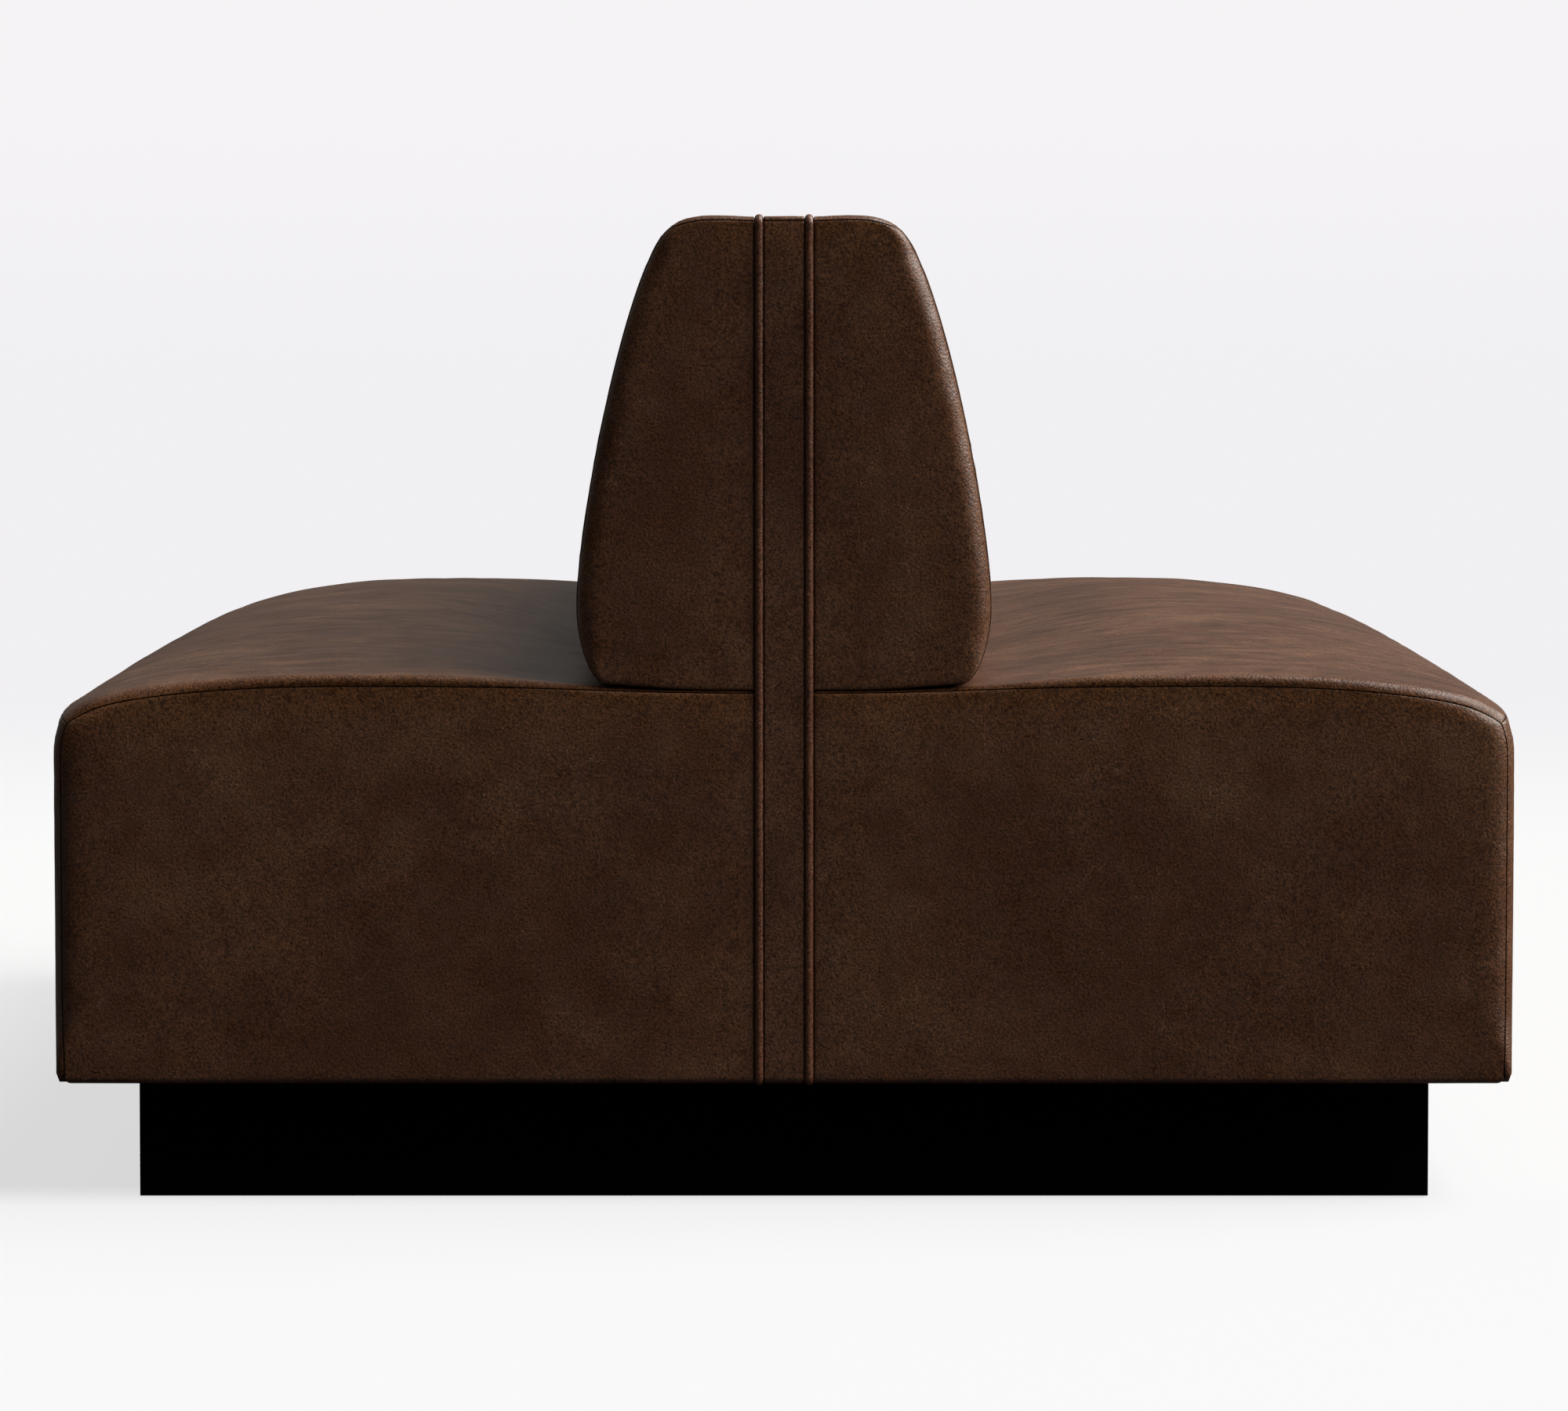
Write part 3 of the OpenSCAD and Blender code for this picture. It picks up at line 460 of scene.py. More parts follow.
def uneven(grid, side, distance, edge, seed, amount=0.5 * MM, pucker=0.28 * MM):
    """The grid on its side of the bench, with slow unevenness, and small puckers square to the seams, which
    fade out at the seams."""
    grid = mirrored(grid, side)
    away = np.minimum(distance, edge)
    slow = waves(grid, (0.31, 0.23, 0.17, 0.12, 0.09), seed) * amount * soft_step(away / 0.06)
    quick = waves(grid, (0.027, 0.019, 0.014, 0.011), seed + 50)
    patchy = 0.5 + 0.5 * waves(grid, (0.16, 0.11), seed + 90)
    near = away / (5 * MM)
    small = quick * patchy * pucker * near * np.exp(1 - near)
    return grid + out_of(grid, side) * (slow + small)[..., None]


def rubbed(away, reach, grid, seed):
    """Share of the tan rubbed tint: full at a seam and fading over a reach that varies along it."""
    varied = reach * (1 + 0.45 * waves(grid, (0.13, 0.07, 0.045), seed))
    return np.clip(np.exp(-((away / np.maximum(varied, 2 * MM)) ** 1.6)), 0, 1)


def seam_shade_and_dirt_share(away):
    """Share of the painted shade and dirt down in a seam: a bell curve some 1 mm wide."""
    return np.exp(-((away / (0.8 * MM)) ** 2))


def settled(grid):
    """The grid with the four upper corners of the block drawn in, as the filling settles there: points move
    in and a little down by a bell curve of their distance from the corner, longer along the bench."""
    spread = np.array([26, 38, 12]) * MM
    for side in (-1, 1):
        for end in (-1, 1):
            corner = np.array([side * side_x, end * face_y, shoulder_z + 8 * MM])
            weight = np.exp(-((((grid - corner) / spread) ** 2).sum(-1)) / 2)
            grid = grid + np.array([-side, 0, -0.25]) * (corner_draw * weight)[..., None]
    return grid


def place(piece, nodes, material):
    """Rides the piece on the bench, in place of CAD nodes, material and padding."""
    piece.data.materials.append(material)
    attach(piece, "root")
    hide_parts(*nodes)
    return piece


# Colours and materials
def linear(hex_colour):
    """Linear RGBA of an sRGB hex colour."""
    srgb = [int(hex_colour[k:k + 2], 16) / 255 for k in (1, 3, 5)]
    return (*[c / 12.92 if c <= 0.04045 else ((c + 0.055) / 1.055) ** 2.4 for c in srgb], 1)


def add(tree, kind, inputs=(), **settings):
    """New shader node with its settings. Its inputs are values, sockets or nodes, by name or in their order;
    a node stands for its first output in use."""
    node = tree.nodes.new("ShaderNode" + kind)
    for key, value in settings.items():
        setattr(node, key, value)
    for key, value in inputs.items() if isinstance(inputs, dict) else enumerate(inputs):
        if isinstance(value, bpy.types.Node):
            value = next(socket for socket in value.outputs if socket.enabled)
        if isinstance(value, bpy.types.NodeSocket):
            tree.links.new(value, node.inputs[key])
        else:
            node.inputs[key].default_value = value
    return node


def new_material(name):
    """Empty material and its node tree."""
    material = bpy.data.materials.new(name)
    material.use_nodes = True
    material.node_tree.nodes.clear()
    return material, material.node_tree


def close(material, shader):
    """The material, with the shader linked to a new output."""
    add(material.node_tree, "OutputMaterial", [shader])
    return material


def ramp(tree, factor, stops):
    """Colour ramp through places with their hex colours."""
    node = add(tree, "ValToRGB", [factor])
    elements = node.color_ramp.elements
    for element, (where, colour) in zip(elements, (stops[0], stops[-1])):
        element.position, element.color = where, linear(colour)
    for where, colour in stops[1:-1]:
        elements.new(where).color = linear(colour)
    return node


def waxed_pull_up_leather(name, dark, mid, light, tan, grain_mm=2):
    """Full-grain hide, waxed and oiled: it goes lighter where it is pulled, at seams and over edges.
    Its colour lies in cloudy patches some 50 mm wide, with a pebble grain, pores and fine hair scratches."""
    material, tree = new_material(name)
    coords = add(tree, "TexCoord").outputs["Object"]
    cloudy = add(tree, "TexNoise", {"Vector": coords, "Scale": 1 / (48 * MM), "Detail": 5, "Roughness": 0.7})
    broad = add(tree, "TexNoise", {"Vector": coords, "Scale": 1 / (230 * MM), "Detail": 2})
    speck = add(tree, "TexNoise", {"Vector": coords, "Scale": 1 / (2 * MM), "Detail": 3, "Roughness": 0.7})
    both = add(tree, "Math", [cloudy, broad], operation="ADD")
    half = add(tree, "Math", [both, 0.5], operation="MULTIPLY")
    colour = ramp(tree, half, [(0.41, dark), (0.5, mid), (0.59, light)])
    # Hair scratches: stretches of the borders of large bent cells, in patches
    bends = add(tree, "TexNoise", {"Vector": coords, "Scale": 1 / (30 * MM), "Detail": 2}).outputs["Color"]
    bent = add(tree, "VectorMath", [bends, (0.03, 0.03, 0.03), coords], operation="MULTIPLY_ADD")
    cells = add(tree, "TexVoronoi", {"Vector": bent, "Scale": 1 / (20 * MM)}, feature="DISTANCE_TO_EDGE")
    thin = add(tree, "MapRange", [cells, 0, 0.024, 1, 0])
    where = add(tree, "TexNoise", {"Vector": coords, "Scale": 1 / (70 * MM), "Detail": 6, "Roughness": 0.75})
    patches = add(tree, "MapRange", [where, 0.53, 0.63, 0, 0.45])
    scratch = add(tree, "Math", [thin, patches], operation="MULTIPLY")
    scratched = add(tree, "Mix", {"Factor": scratch, "A": colour, "B": linear("#8d6c54")}, data_type="RGBA")
    # Tan where it is rubbed. In the seams and in bands beside them the colour and sheen are darkened: painted
    # shade, with some dirt down in the seams themselves
    rub = add(tree, "Attribute", attribute_name="rub").outputs["Fac"]
    rub_noise = add(tree, "MapRange", [speck, 0.3, 0.7, 0.35, 1])
    rub_share = add(tree, "Math", [rub, rub_noise], operation="MULTIPLY")
    worn = add(tree, "Mix", {"Factor": rub_share, "A": scratched, "B": linear(tan)}, data_type="RGBA")
    # The speck noise also lifts the grain's bumps below, so the colour is lighter on the bumps and darker in
    # the dips: painted light and shade on the grain, over its own speckled tone
    shade = add(tree, "MapRange", [speck, 0.35, 0.65, 0.28, 1.72])
    dirt_and_painted_shade = add(tree, "Attribute", attribute_name="dirt_and_painted_shade").outputs["Fac"]
    undarkened_share = add(tree, "Math", [dirt_and_painted_shade, -0.85, 1], operation="MULTIPLY_ADD")
    shaded = add(tree, "Math", [shade, undarkened_share], operation="MULTIPLY")
    # Where people sit, the wax is rubbed into streaks that run the way they slide off the seat
    used = add(tree, "Attribute", attribute_name="used").outputs["Fac"]
    drawn_out = add(tree, "VectorMath", [coords, (0.4, 1, 1)], operation="MULTIPLY")
    streaks = add(tree, "TexNoise", {"Vector": drawn_out, "Scale": 1 / (28 * MM), "Detail": 6,
                                     "Roughness": 0.75})
    swing = add(tree, "MapRange", [streaks, 0.35, 0.65, -0.36, 0.36])
    streaked = add(tree, "Math", [used, swing, 1], operation="MULTIPLY_ADD")
    toned = add(tree, "Math", [shaded, streaked], operation="MULTIPLY")
    final = add(tree, "VectorMath", {0: worn, "Scale": toned}, operation="SCALE")
    # Pebble grain with a crease between the cells, and pores
    pebble = add(tree, "TexVoronoi", {"Vector": coords, "Scale": 1 / (grain_mm * MM), "Smoothness": 0.6},
                 feature="SMOOTH_F1")
    height = add(tree, "Math", [pebble, -0.8, 1], operation="MULTIPLY_ADD")
    rough_height = add(tree, "Math", [speck, 0.5, height], operation="MULTIPLY_ADD")
    low_height = add(tree, "Math", [cloudy, 2, rough_height], operation="MULTIPLY_ADD")
    cut = add(tree, "Math", [scratch, -0.2, low_height], operation="MULTIPLY_ADD")
    bump = add(tree, "Bump", {"Height": cut, "Strength": 0.9, "Distance": 0.4 * MM})
    # Gloss of the wax, in patches
    gloss = add(tree, "MapRange", [cloudy, 0.3, 0.7, 0.32, 0.38])
    waxy = add(tree, "TexNoise", {"Vector": coords, "Scale": 1 / (22 * MM), "Detail": 5, "Roughness": 0.7})
    shine = add(tree, "MapRange", [waxy, 0.3, 0.7, 0.26, 0.74])
    waxed = add(tree, "Math", [undarkened_share, shine], operation="MULTIPLY")
    matt = add(tree, "Attribute", attribute_name="matt").outputs["Fac"]
    left_over = add(tree, "Math", [matt, -1, 1], operation="MULTIPLY_ADD")
    rubbed_in = add(tree, "Math", [used, swing, left_over], operation="MULTIPLY_ADD")
    sheen = add(tree, "Math", [waxed, rubbed_in], operation="MULTIPLY")
    return close(material, add(tree, "BsdfPrincipled", {
        "Base Color": final, "Roughness": gloss, "IOR": 1.48, "Specular IOR Level": sheen, "Normal": bump}))


def black_laminate(name):
    """High-pressure laminate pressed with a fine matt texture, which scatters only a little light."""
    material, tree = new_material(name)
    coords = add(tree, "TexCoord").outputs["Object"]
    fine = add(tree, "TexNoise", {"Vector": coords, "Scale": 1 / (1.5 * MM), "Detail": 3})
    tone = ramp(tree, fine, [(0.35, "#010101"), (0.65, "#030303")])
    bump = add(tree, "Bump", {"Height": fine, "Strength": 0.25, "Distance": 0.08 * MM})
    return close(material, add(tree, "BsdfPrincipled", {
        "Base Color": tone, "Roughness": 0.62, "Specular IOR Level": 0.04, "Normal": bump}))


def sawn_wood(name, light, dark, ring_mm):
    """Wood with growth rings cut lengthwise: streaks along the grain, darker late wood and fine pores."""
    material, tree = new_material(name)
    coords = add(tree, "TexCoord").outputs["Object"]
    grain = add(tree, "Mapping", {"Vector": coords, "Scale": (1, 0.05, 1)})
    rings = add(tree, "TexNoise", {"Vector": grain, "Scale": 1 / (ring_mm * MM), "Detail": 5,
                                   "Distortion": 1.2})
    pores = add(tree, "TexNoise", {"Vector": grain, "Scale": 1 / (0.9 * MM), "Detail": 2})
    tone = ramp(tree, rings, [(0.35, light), (0.65, dark)])
    speck = add(tree, "MapRange", [pores, 0.3, 0.6, 0.82, 1.04])
    final = add(tree, "VectorMath", {0: tone, "Scale": speck}, operation="SCALE")
    bump = add(tree, "Bump", {"Height": pores, "Strength": 0.4, "Distance": 0.12 * MM})
    return close(material, add(tree, "BsdfPrincipled", {
        "Base Color": final, "Roughness": 0.62, "Normal": bump}))


def open_cell_foam(name, pale, deep, cell_mm, softness):
    """Slab foam or wadding: pale, matt, with open cells that show as small dark pits."""
    material, tree = new_material(name)
    coords = add(tree, "TexCoord").outputs["Object"]
    cells = add(tree, "TexVoronoi", {"Vector": coords, "Scale": 1 / (cell_mm * MM)})
    cloud = add(tree, "TexNoise", {"Vector": coords, "Scale": 1 / (40 * MM), "Detail": 3})
    total = add(tree, "Math", [cells, 0.6, cloud], operation="MULTIPLY_ADD")
    tone = ramp(tree, total, [(0.4, pale), (1, deep)])
    bump = add(tree, "Bump", {"Height": cells, "Strength": softness, "Distance": 0.6 * MM}, invert=True)
    return close(material, add(tree, "BsdfPrincipled", {
        "Base Color": tone, "Roughness": 0.95, "Specular IOR Level": 0.2, "Sheen Weight": 0.15,
        "Normal": bump}))


def plain_weave(name, light, dark, thread_mm, depth_mm):
    """Plain-woven cloth on the piece's own UV map, in metres: warp over weft by turns, as crossed waves."""
    material, tree = new_material(name)
    uv = add(tree, "UVMap", uv_map="UVMap").outputs[0]
    parts = add(tree, "SeparateXYZ", [uv])
    wave = []
    for axis in ("X", "Y"):
        angle = add(tree, "Math", [parts.outputs[axis], math.pi / (thread_mm * MM)], operation="MULTIPLY")
        wave.append(add(tree, "Math", [angle], operation="SINE"))
    cross = add(tree, "Math", wave, operation="MULTIPLY")
    height = add(tree, "MapRange", [cross, -1, 1])
    slub = add(tree, "TexNoise", {"Vector": uv, "Scale": 1 / (8 * MM), "Detail": 3})
    total = add(tree, "Math", [slub, 0.6, height], operation="MULTIPLY_ADD")
    tone = ramp(tree, total, [(0.35, dark), (1.1, light)])
    bump = add(tree, "Bump", {"Height": total, "Strength": 0.7, "Distance": depth_mm * MM})
    return close(material, add(tree, "BsdfPrincipled", {
        "Base Color": tone, "Roughness": 0.88, "Specular IOR Level": 0.25, "Normal": bump}))


def spun_bonded_cloth(name):
    """Black spun-bonded polypropylene: random matted fibres with small pressed dots."""
    material, tree = new_material(name)
    coords = add(tree, "TexCoord").outputs["Object"]
    fibres = add(tree, "TexNoise", {"Vector": coords, "Scale": 1 / (1.2 * MM), "Detail": 5,
                                    "Distortion": 2.5})
    dots = add(tree, "TexVoronoi", {"Vector": coords, "Scale": 1 / (3 * MM), "Randomness": 0.1})
    pressed = add(tree, "MapRange", [dots, 0.15, 0.3])
    tone = ramp(tree, fibres, [(0.3, "#0c0c0c"), (0.7, "#262626")])
    height = add(tree, "Math", [fibres, pressed], operation="ADD")
    bump = add(tree, "Bump", {"Height": height, "Strength": 0.5, "Distance": 0.15 * MM})
    return close(material, add(tree, "BsdfPrincipled", {
        "Base Color": tone, "Roughness": 0.8, "Normal": bump}))


def zinc_plated_steel(name):
    """Bright zinc on steel: metal with a fine crystalline dullness."""
    material, tree = new_material(name)
    coords = add(tree, "TexCoord").outputs["Object"]
    crystals = add(tree, "TexNoise", {"Vector": coords, "Scale": 1 / (2 * MM), "Detail": 3})
    rough = add(tree, "MapRange", {"Value": crystals, "To Min": 0.28, "To Max": 0.48})
    tone = ramp(tree, crystals, [(0.3, "#9ea2a6"), (0.7, "#bcc0c2")])
    return close(material, add(tree, "BsdfPrincipled", {
        "Base Color": tone, "Metallic": 1, "Roughness": rough}))


def moulded_nylon(name):
    """Natural nylon, injection moulded: waxy, faintly cloudy and slightly rough."""
    material, tree = new_material(name)
    coords = add(tree, "TexCoord").outputs["Object"]
    cloud = add(tree, "TexNoise", {"Vector": coords, "Scale": 1 / (3 * MM), "Detail": 2})
    tone = ramp(tree, cloud, [(0.3, "#cfcfc8"), (0.7, "#e0e0da")])
    bump = add(tree, "Bump", {"Height": cloud, "Strength": 0.2, "Distance": 0.05 * MM})
    return close(material, add(tree, "BsdfPrincipled", {
        "Base Color": tone, "Roughness": 0.45, "Normal": bump}))


HIDE = waxed_pull_up_leather("waxed pull-up leather", "#4e2f1d", "#563623", "#60402b", "#6a421f")
STRIP_HIDE = waxed_pull_up_leather("waxed pull-up leather, strip", "#4a2c1d", "#583927", "#5e3e2c", "#6f4628")
WELT_HIDE = waxed_pull_up_leather(
    "waxed pull-up leather, welt", "#4a2c1e", "#573525", "#623d2b", "#75472c", 1.6)
FOAM = open_cell_foam("open-cell upholstery foam", "#ece3bd", "#c4b47f", 1.6, 0.5)
WADDING = open_cell_foam("needled wadding", "#eceae3", "#c9c6ba", 2.6, 0.3)
WEBBING = plain_weave("woven elastic webbing", "#86715a", "#4d3e2c", 1.8, 0.5)
HESSIAN = plain_weave("plain-woven hessian", "#b89c6c", "#7d6540", 1.6, 0.4)
CORD = plain_weave("twisted cotton piping cord", "#e6dfcf", "#b9b09c", 1.0, 0.2)
DUST_CLOTH = spun_bonded_cloth("spun-bonded cloth")
CAD_MATERIALS = {
    "plinth_laminate": black_laminate("black laminate"),
    "plywood": sawn_wood("sanded birch plywood", "#d2b183", "#bd966a", 9),
    "timber": sawn_wood("planed beech", "#dcc094", "#c49a6c", 5),
    "nylon": moulded_nylon("moulded nylon"),
    "steel": zinc_plated_steel("zinc-plated steel"),
}


# Leather over the seat, the long sides and the backrest
def edge_dip(s, reach_end, share):
    """How far a panel sinks beside its long edges: into the shoulder seam, and against a welt by a share of
    the full measure there."""
    dip = roll(s, trim_r * share) + trim_pull * share * np.exp(-s / trim_reach)
    return dip + roll(s[-1] - s, seam_r) if reach_end else dip


def leather(name, grid, inside, rub, dirt_and_painted_shade, node, fill, slot="hide", material=HIDE, **values):
    """Hide of its thickness over a grid, in place of a CAD node."""
    piece = skin(name, grid, inside, {"rub": rub, "dirt_and_painted_shade": dirt_and_painted_shade, **values})
    solid = piece.modifiers.new("thickness", "SOLIDIFY")
    solid.thickness = hide_t
    solid.offset = -1
    solid.use_rim = True
    return place(piece, [node], material)


def mirrored(grid, side):
    """The grid on the right, or its mirror image on the left."""
    return grid * np.array([side, 1, 1])


def out_of(grid, side):
    """Unit outward direction of a grid's surface, from the cross product of its two ways."""
    normal = np.cross(np.gradient(grid, axis=0), np.gradient(grid, axis=1))
    normal /= np.maximum(np.linalg.norm(normal, axis=-1), 1e-12)[..., None]
    return -normal * side


def seat_top_hide(side, word):
    """Seat top: its inner edge keeps beside the beam, and reaches the welt only over the end boards."""
    section = make_section(SEAT, 8 * MM, (True, True))
    s = section["s"]
    grid, distance = along_length(section, edge_dip(s, True, 1))
    share = np.clip((grid[..., 0] - trim_x) / (seat_flat_x - trim_x), 0, 1)
    beside = soft_step((np.abs(grid[..., 1]) - inner_y - 2 * MM) / (8 * MM))
    held_in = seat_in_x + (seat_flat_x - seat_in_x) * share
    grid[..., 0] = np.where(share < 1, mix(held_in, grid[..., 0], beside), grid[..., 0])
    edge = (s[-1] - s)[:, None]
    grid = settled(uneven(grid, side, distance, edge, SEED + side, amount=0.8 * MM))
    seam = np.minimum(distance, edge)
    tint = np.maximum(0.3 * rubbed(edge, 12 * MM, grid, SEED), 0.4 * rubbed(distance, 10 * MM, grid, SEED))
    # Painted shade: a band some 8 mm wide along each end seam darkens the roll's colour and sheen, at half
    # strength out towards the corners
    inside_corner = 1 - 0.5 * soft_step((np.abs(grid[..., 0]) - crest_x - 60 * MM) / (130 * MM))
    rim_shade = 0.55 * np.exp(-((distance / (7.5 * MM)) ** 2)) * inside_corner
    matt = 0.75 * np.exp(-((distance / (9 * MM)) ** 2))
    leather(f"seat_top_hide_{word}", grid, (side * crest_x, 0, block_z), tint,
            np.maximum(seam_shade_and_dirt_share(seam), rim_shade), f"seat_leather_{word}", 0.85, matt=matt,
            used=soft_step(seam / (20 * MM)))


def side_hide(side, word):
    """Long side: its upper edge rolls into the shoulder seam, and its flap turns under the block."""
    section = make_section(SIDE, 9 * MM, (True, False))
    s = section["s"]
    grid, distance = along_length(section, roll(s, seam_r), step=9 * MM)
    edge = s[:, None]
    face = (section["point"][:, 1] > block_z + bottom_r)[:, None]
    grid = settled(uneven(grid, side, distance, np.where(face, edge, 0), SEED + 3 + side))
    seam = np.minimum(distance, edge)
    leather(f"side_hide_{word}", grid, (0, 0, seat_h), 0.2 * rubbed(seam, 10 * MM, grid, SEED + 1),
            seam_shade_and_dirt_share(seam), f"side_leather_{word}", 0.8)


def back_hide(side, word):
    """Back face with the shoulder, half the top and the foot, and the flap under it."""
    section = make_section(BACK, 7 * MM, (True, False))
    s = section["s"]
    grid, distance = along_length(section, edge_dip(s, False, 0.35))
    edge = np.where(s < s[-1] - back_flap_w, s, 0)[:, None]
    grid = uneven(grid, side, distance, edge, SEED + 6 + side, amount=0.6 * MM)
    leather(f"back_hide_{word}", grid, (0, 0, back_wide_z), 0.2 * rubbed(distance, 9 * MM, grid, SEED + 2),
            seam_shade_and_dirt_share(distance), f"back_leather_{word}", 0.85)


# Leather on the end faces
def seam_curve(shape, last=None):
    """Seam line on an end face, its outward direction, corner radius and distance in from the outline."""
    out = across(shape["line"])
    line = shape["line"] - out * shape["seam_in"][:, None]
    curve = {"line": line, "out": out, "radius": shape["radius"], "seam_in": shape["seam_in"]}
    return part(curve, 0, last)


def part(curve, start, stop):
    """The curve between two of its points."""
    return {key: value[start:stop] for key, value in curve.items()}


def even(curve, count):
    """The curve again at evenly spaced points."""
    where = np.linspace(0, lengths(curve["line"])[-1], count)
    return {key: at(curve["line"], where, value) for key, value in curve.items()}


def joined(*curves):
    """Curves set end to end."""
    return {key: np.concatenate([c[key] for c in curves]) for key in curves[0]}


def patch(left, right, bottom, top, u, v):
    """Grid filled in between four border lines: the two ruled surfaces less the bilinear one."""
    def on(line, share):
        """Points at shares of a line's length."""
        return at(line, share * lengths(line)[-1], line)
    lo, hi, a, b = on(bottom, u), on(top, u), on(left, v), on(right, v)
    u, v = u[:, None, None], v[None, :, None]
    ruled = (1 - v) * lo[:, None] + v * hi[:, None] + (1 - u) * a[None] + u * b[None]
    corners = ((1 - u) * (1 - v) * bottom[0] + u * (1 - v) * bottom[-1]
               + (1 - u) * v * top[0] + u * v * top[-1])
    return ruled - corners


def end_surface(plane, seam, seed, trim_amount=1.0):
    """Lays a grid of X and Z over an end face. Its depth behind the flat face is that of a circular corner
    at the distance to the nearest point of the seam, with the seam's groove and the pull beside the welt."""
    gap = plane[:, :, None] - seam["line"][None, None]
    nearest = (gap**2).sum(-1).argmin(-1)
    out = seam["out"][nearest]
    distance = np.clip(-((plane - seam["line"][nearest]) * out).sum(-1), 0, None)
    radius, seam_in = seam["radius"][nearest], seam["seam_in"][nearest]
    sine = np.clip(1 - (seam_in + distance) / radius, 0, 1)
    cosine = np.sqrt(1 - sine**2)
    sunk = roll(distance, seam_r)
    beside = plane[..., 0] - trim_x
    pull = (roll(beside, trim_r) + trim_pull * np.exp(-beside / trim_reach)) * soft_step(distance / (5 * MM))
    depth = radius * (1 - cosine) + sunk * cosine + pull * trim_amount
    plane = plane - out * (sunk * sine)[..., None]
    point = np.stack([plane[..., 0], -face_y + depth, plane[..., 1]], -1)
    away = np.minimum(distance, np.maximum(beside, 0))
    swell = end_crown * soft_step(away / (90 * MM))
    patchy = 0.5 + 0.5 * waves(point, (0.15, 0.1), seed + 90)
    quick = waves(point, (0.024, 0.017, 0.013), seed + 50) * patchy
    near = away / (5 * MM)
    small = quick * 0.16 * MM * near * np.exp(1 - near)
    slow = waves(point, (0.29, 0.2, 0.15, 0.1), seed) * 0.3 * MM * soft_step(away / (60 * MM))
    point[..., 1] -= swell + small + slow
    return point, distance


def fine_shares(width, step, ends=(True, True)):
    """Stations over a width, as shares of it."""
    return stations(width, step, ends=ends) / width


def turned_under(grid, distance, rows):
    """The grid with rows set before its first one, the last of them first."""
    distance = np.concatenate([np.repeat(distance[:, :1], len(rows), 1), distance], 1)
    return np.concatenate([np.stack(rows[::-1], 1), grid], 1), distance


def seat_end_hide(side, end, words):
    """Half of the block's end: flat between the welt, the seat's seam and the side's seam, then turned
    under the block over the bottom corner, with a mitre where it meets the side's flap."""
    low_z = block_z + bottom_r
    side_part = part(seam_curve(SIDE), 1, int(np.argmax(SIDE["line"][:, 1] <= low_z + 1e-9)) + 1)
    top = even(seam_curve(SEAT), 420)
    seam = joined(top, even(side_part, 260))
    right = np.concatenate([top["line"][-1:], side_part["line"]])[::-1]
    foot_x = right[0, 0]
    bottom = np.array([[trim_x, low_z], [foot_x, low_z]])
    left = np.array([[trim_x, low_z], [trim_x, top["line"][0, 1]]])
    right[0] = bottom[-1]
    wide = foot_x - trim_x
    plane = patch(left, right, bottom, top["line"], fine_shares(wide, 8 * MM),
                  fine_shares(seat_h - low_z, 8 * MM, (False, True)))
    grid, distance = end_surface(plane, seam, SEED + 11 + 2 * side + end)
    turn = np.linspace(0, math.pi / 2, 9)[1:]
    run = np.linspace(bottom_r, flap_w, 6)[1:]
    into = np.concatenate([bottom_r * (1 - np.cos(turn)), run])
    up = np.concatenate([bottom_r * (1 - np.sin(turn)), 0 * run])
    rows = []
    for k in range(len(into)):
        row = grid[:, 0].copy()
        row[:, 0] = trim_x + (row[:, 0] - trim_x) * (wide - into[k]) / wide
        row[:, 1] += into[k]
        row[:, 2] = block_z + up[k]
        rows.append(row)
    grid, distance = turned_under(grid, distance, rows)
    grid = settled(grid * np.array([side, -end, 1]))
    high_up = 0.25 + 0.75 * soft_step((grid[..., 2] - seat_h + 90 * MM) / (50 * MM))
    tint = 0.8 * rubbed(distance, 16 * MM, grid, SEED + 4) * high_up
    # Painted shade, with dirt in the seam itself: darker colour and sheen down the seam and, more faintly, in
    # a band some 9 mm wide beside it
    dull = np.maximum(seam_shade_and_dirt_share(distance), 0.15 * np.exp(-((distance / (9 * MM)) ** 2)))
    inside = (0, 0, seat_h - 100 * MM)
    leather(f"seat_end_hide_{words}", grid, inside, tint, dull, f"seat_end_leather_{words}", 0.6)


def sole_z(x, foot):
    """Lower edge of the backrest's end: it follows the seat, and closes down on it inwards of the foot."""
    start = foot[1] - seat_full_z(foot[0])
    return seat_full_z(x) + mix(start, -1.6 * MM, soft_step((foot[0] - x) / foot_closed))


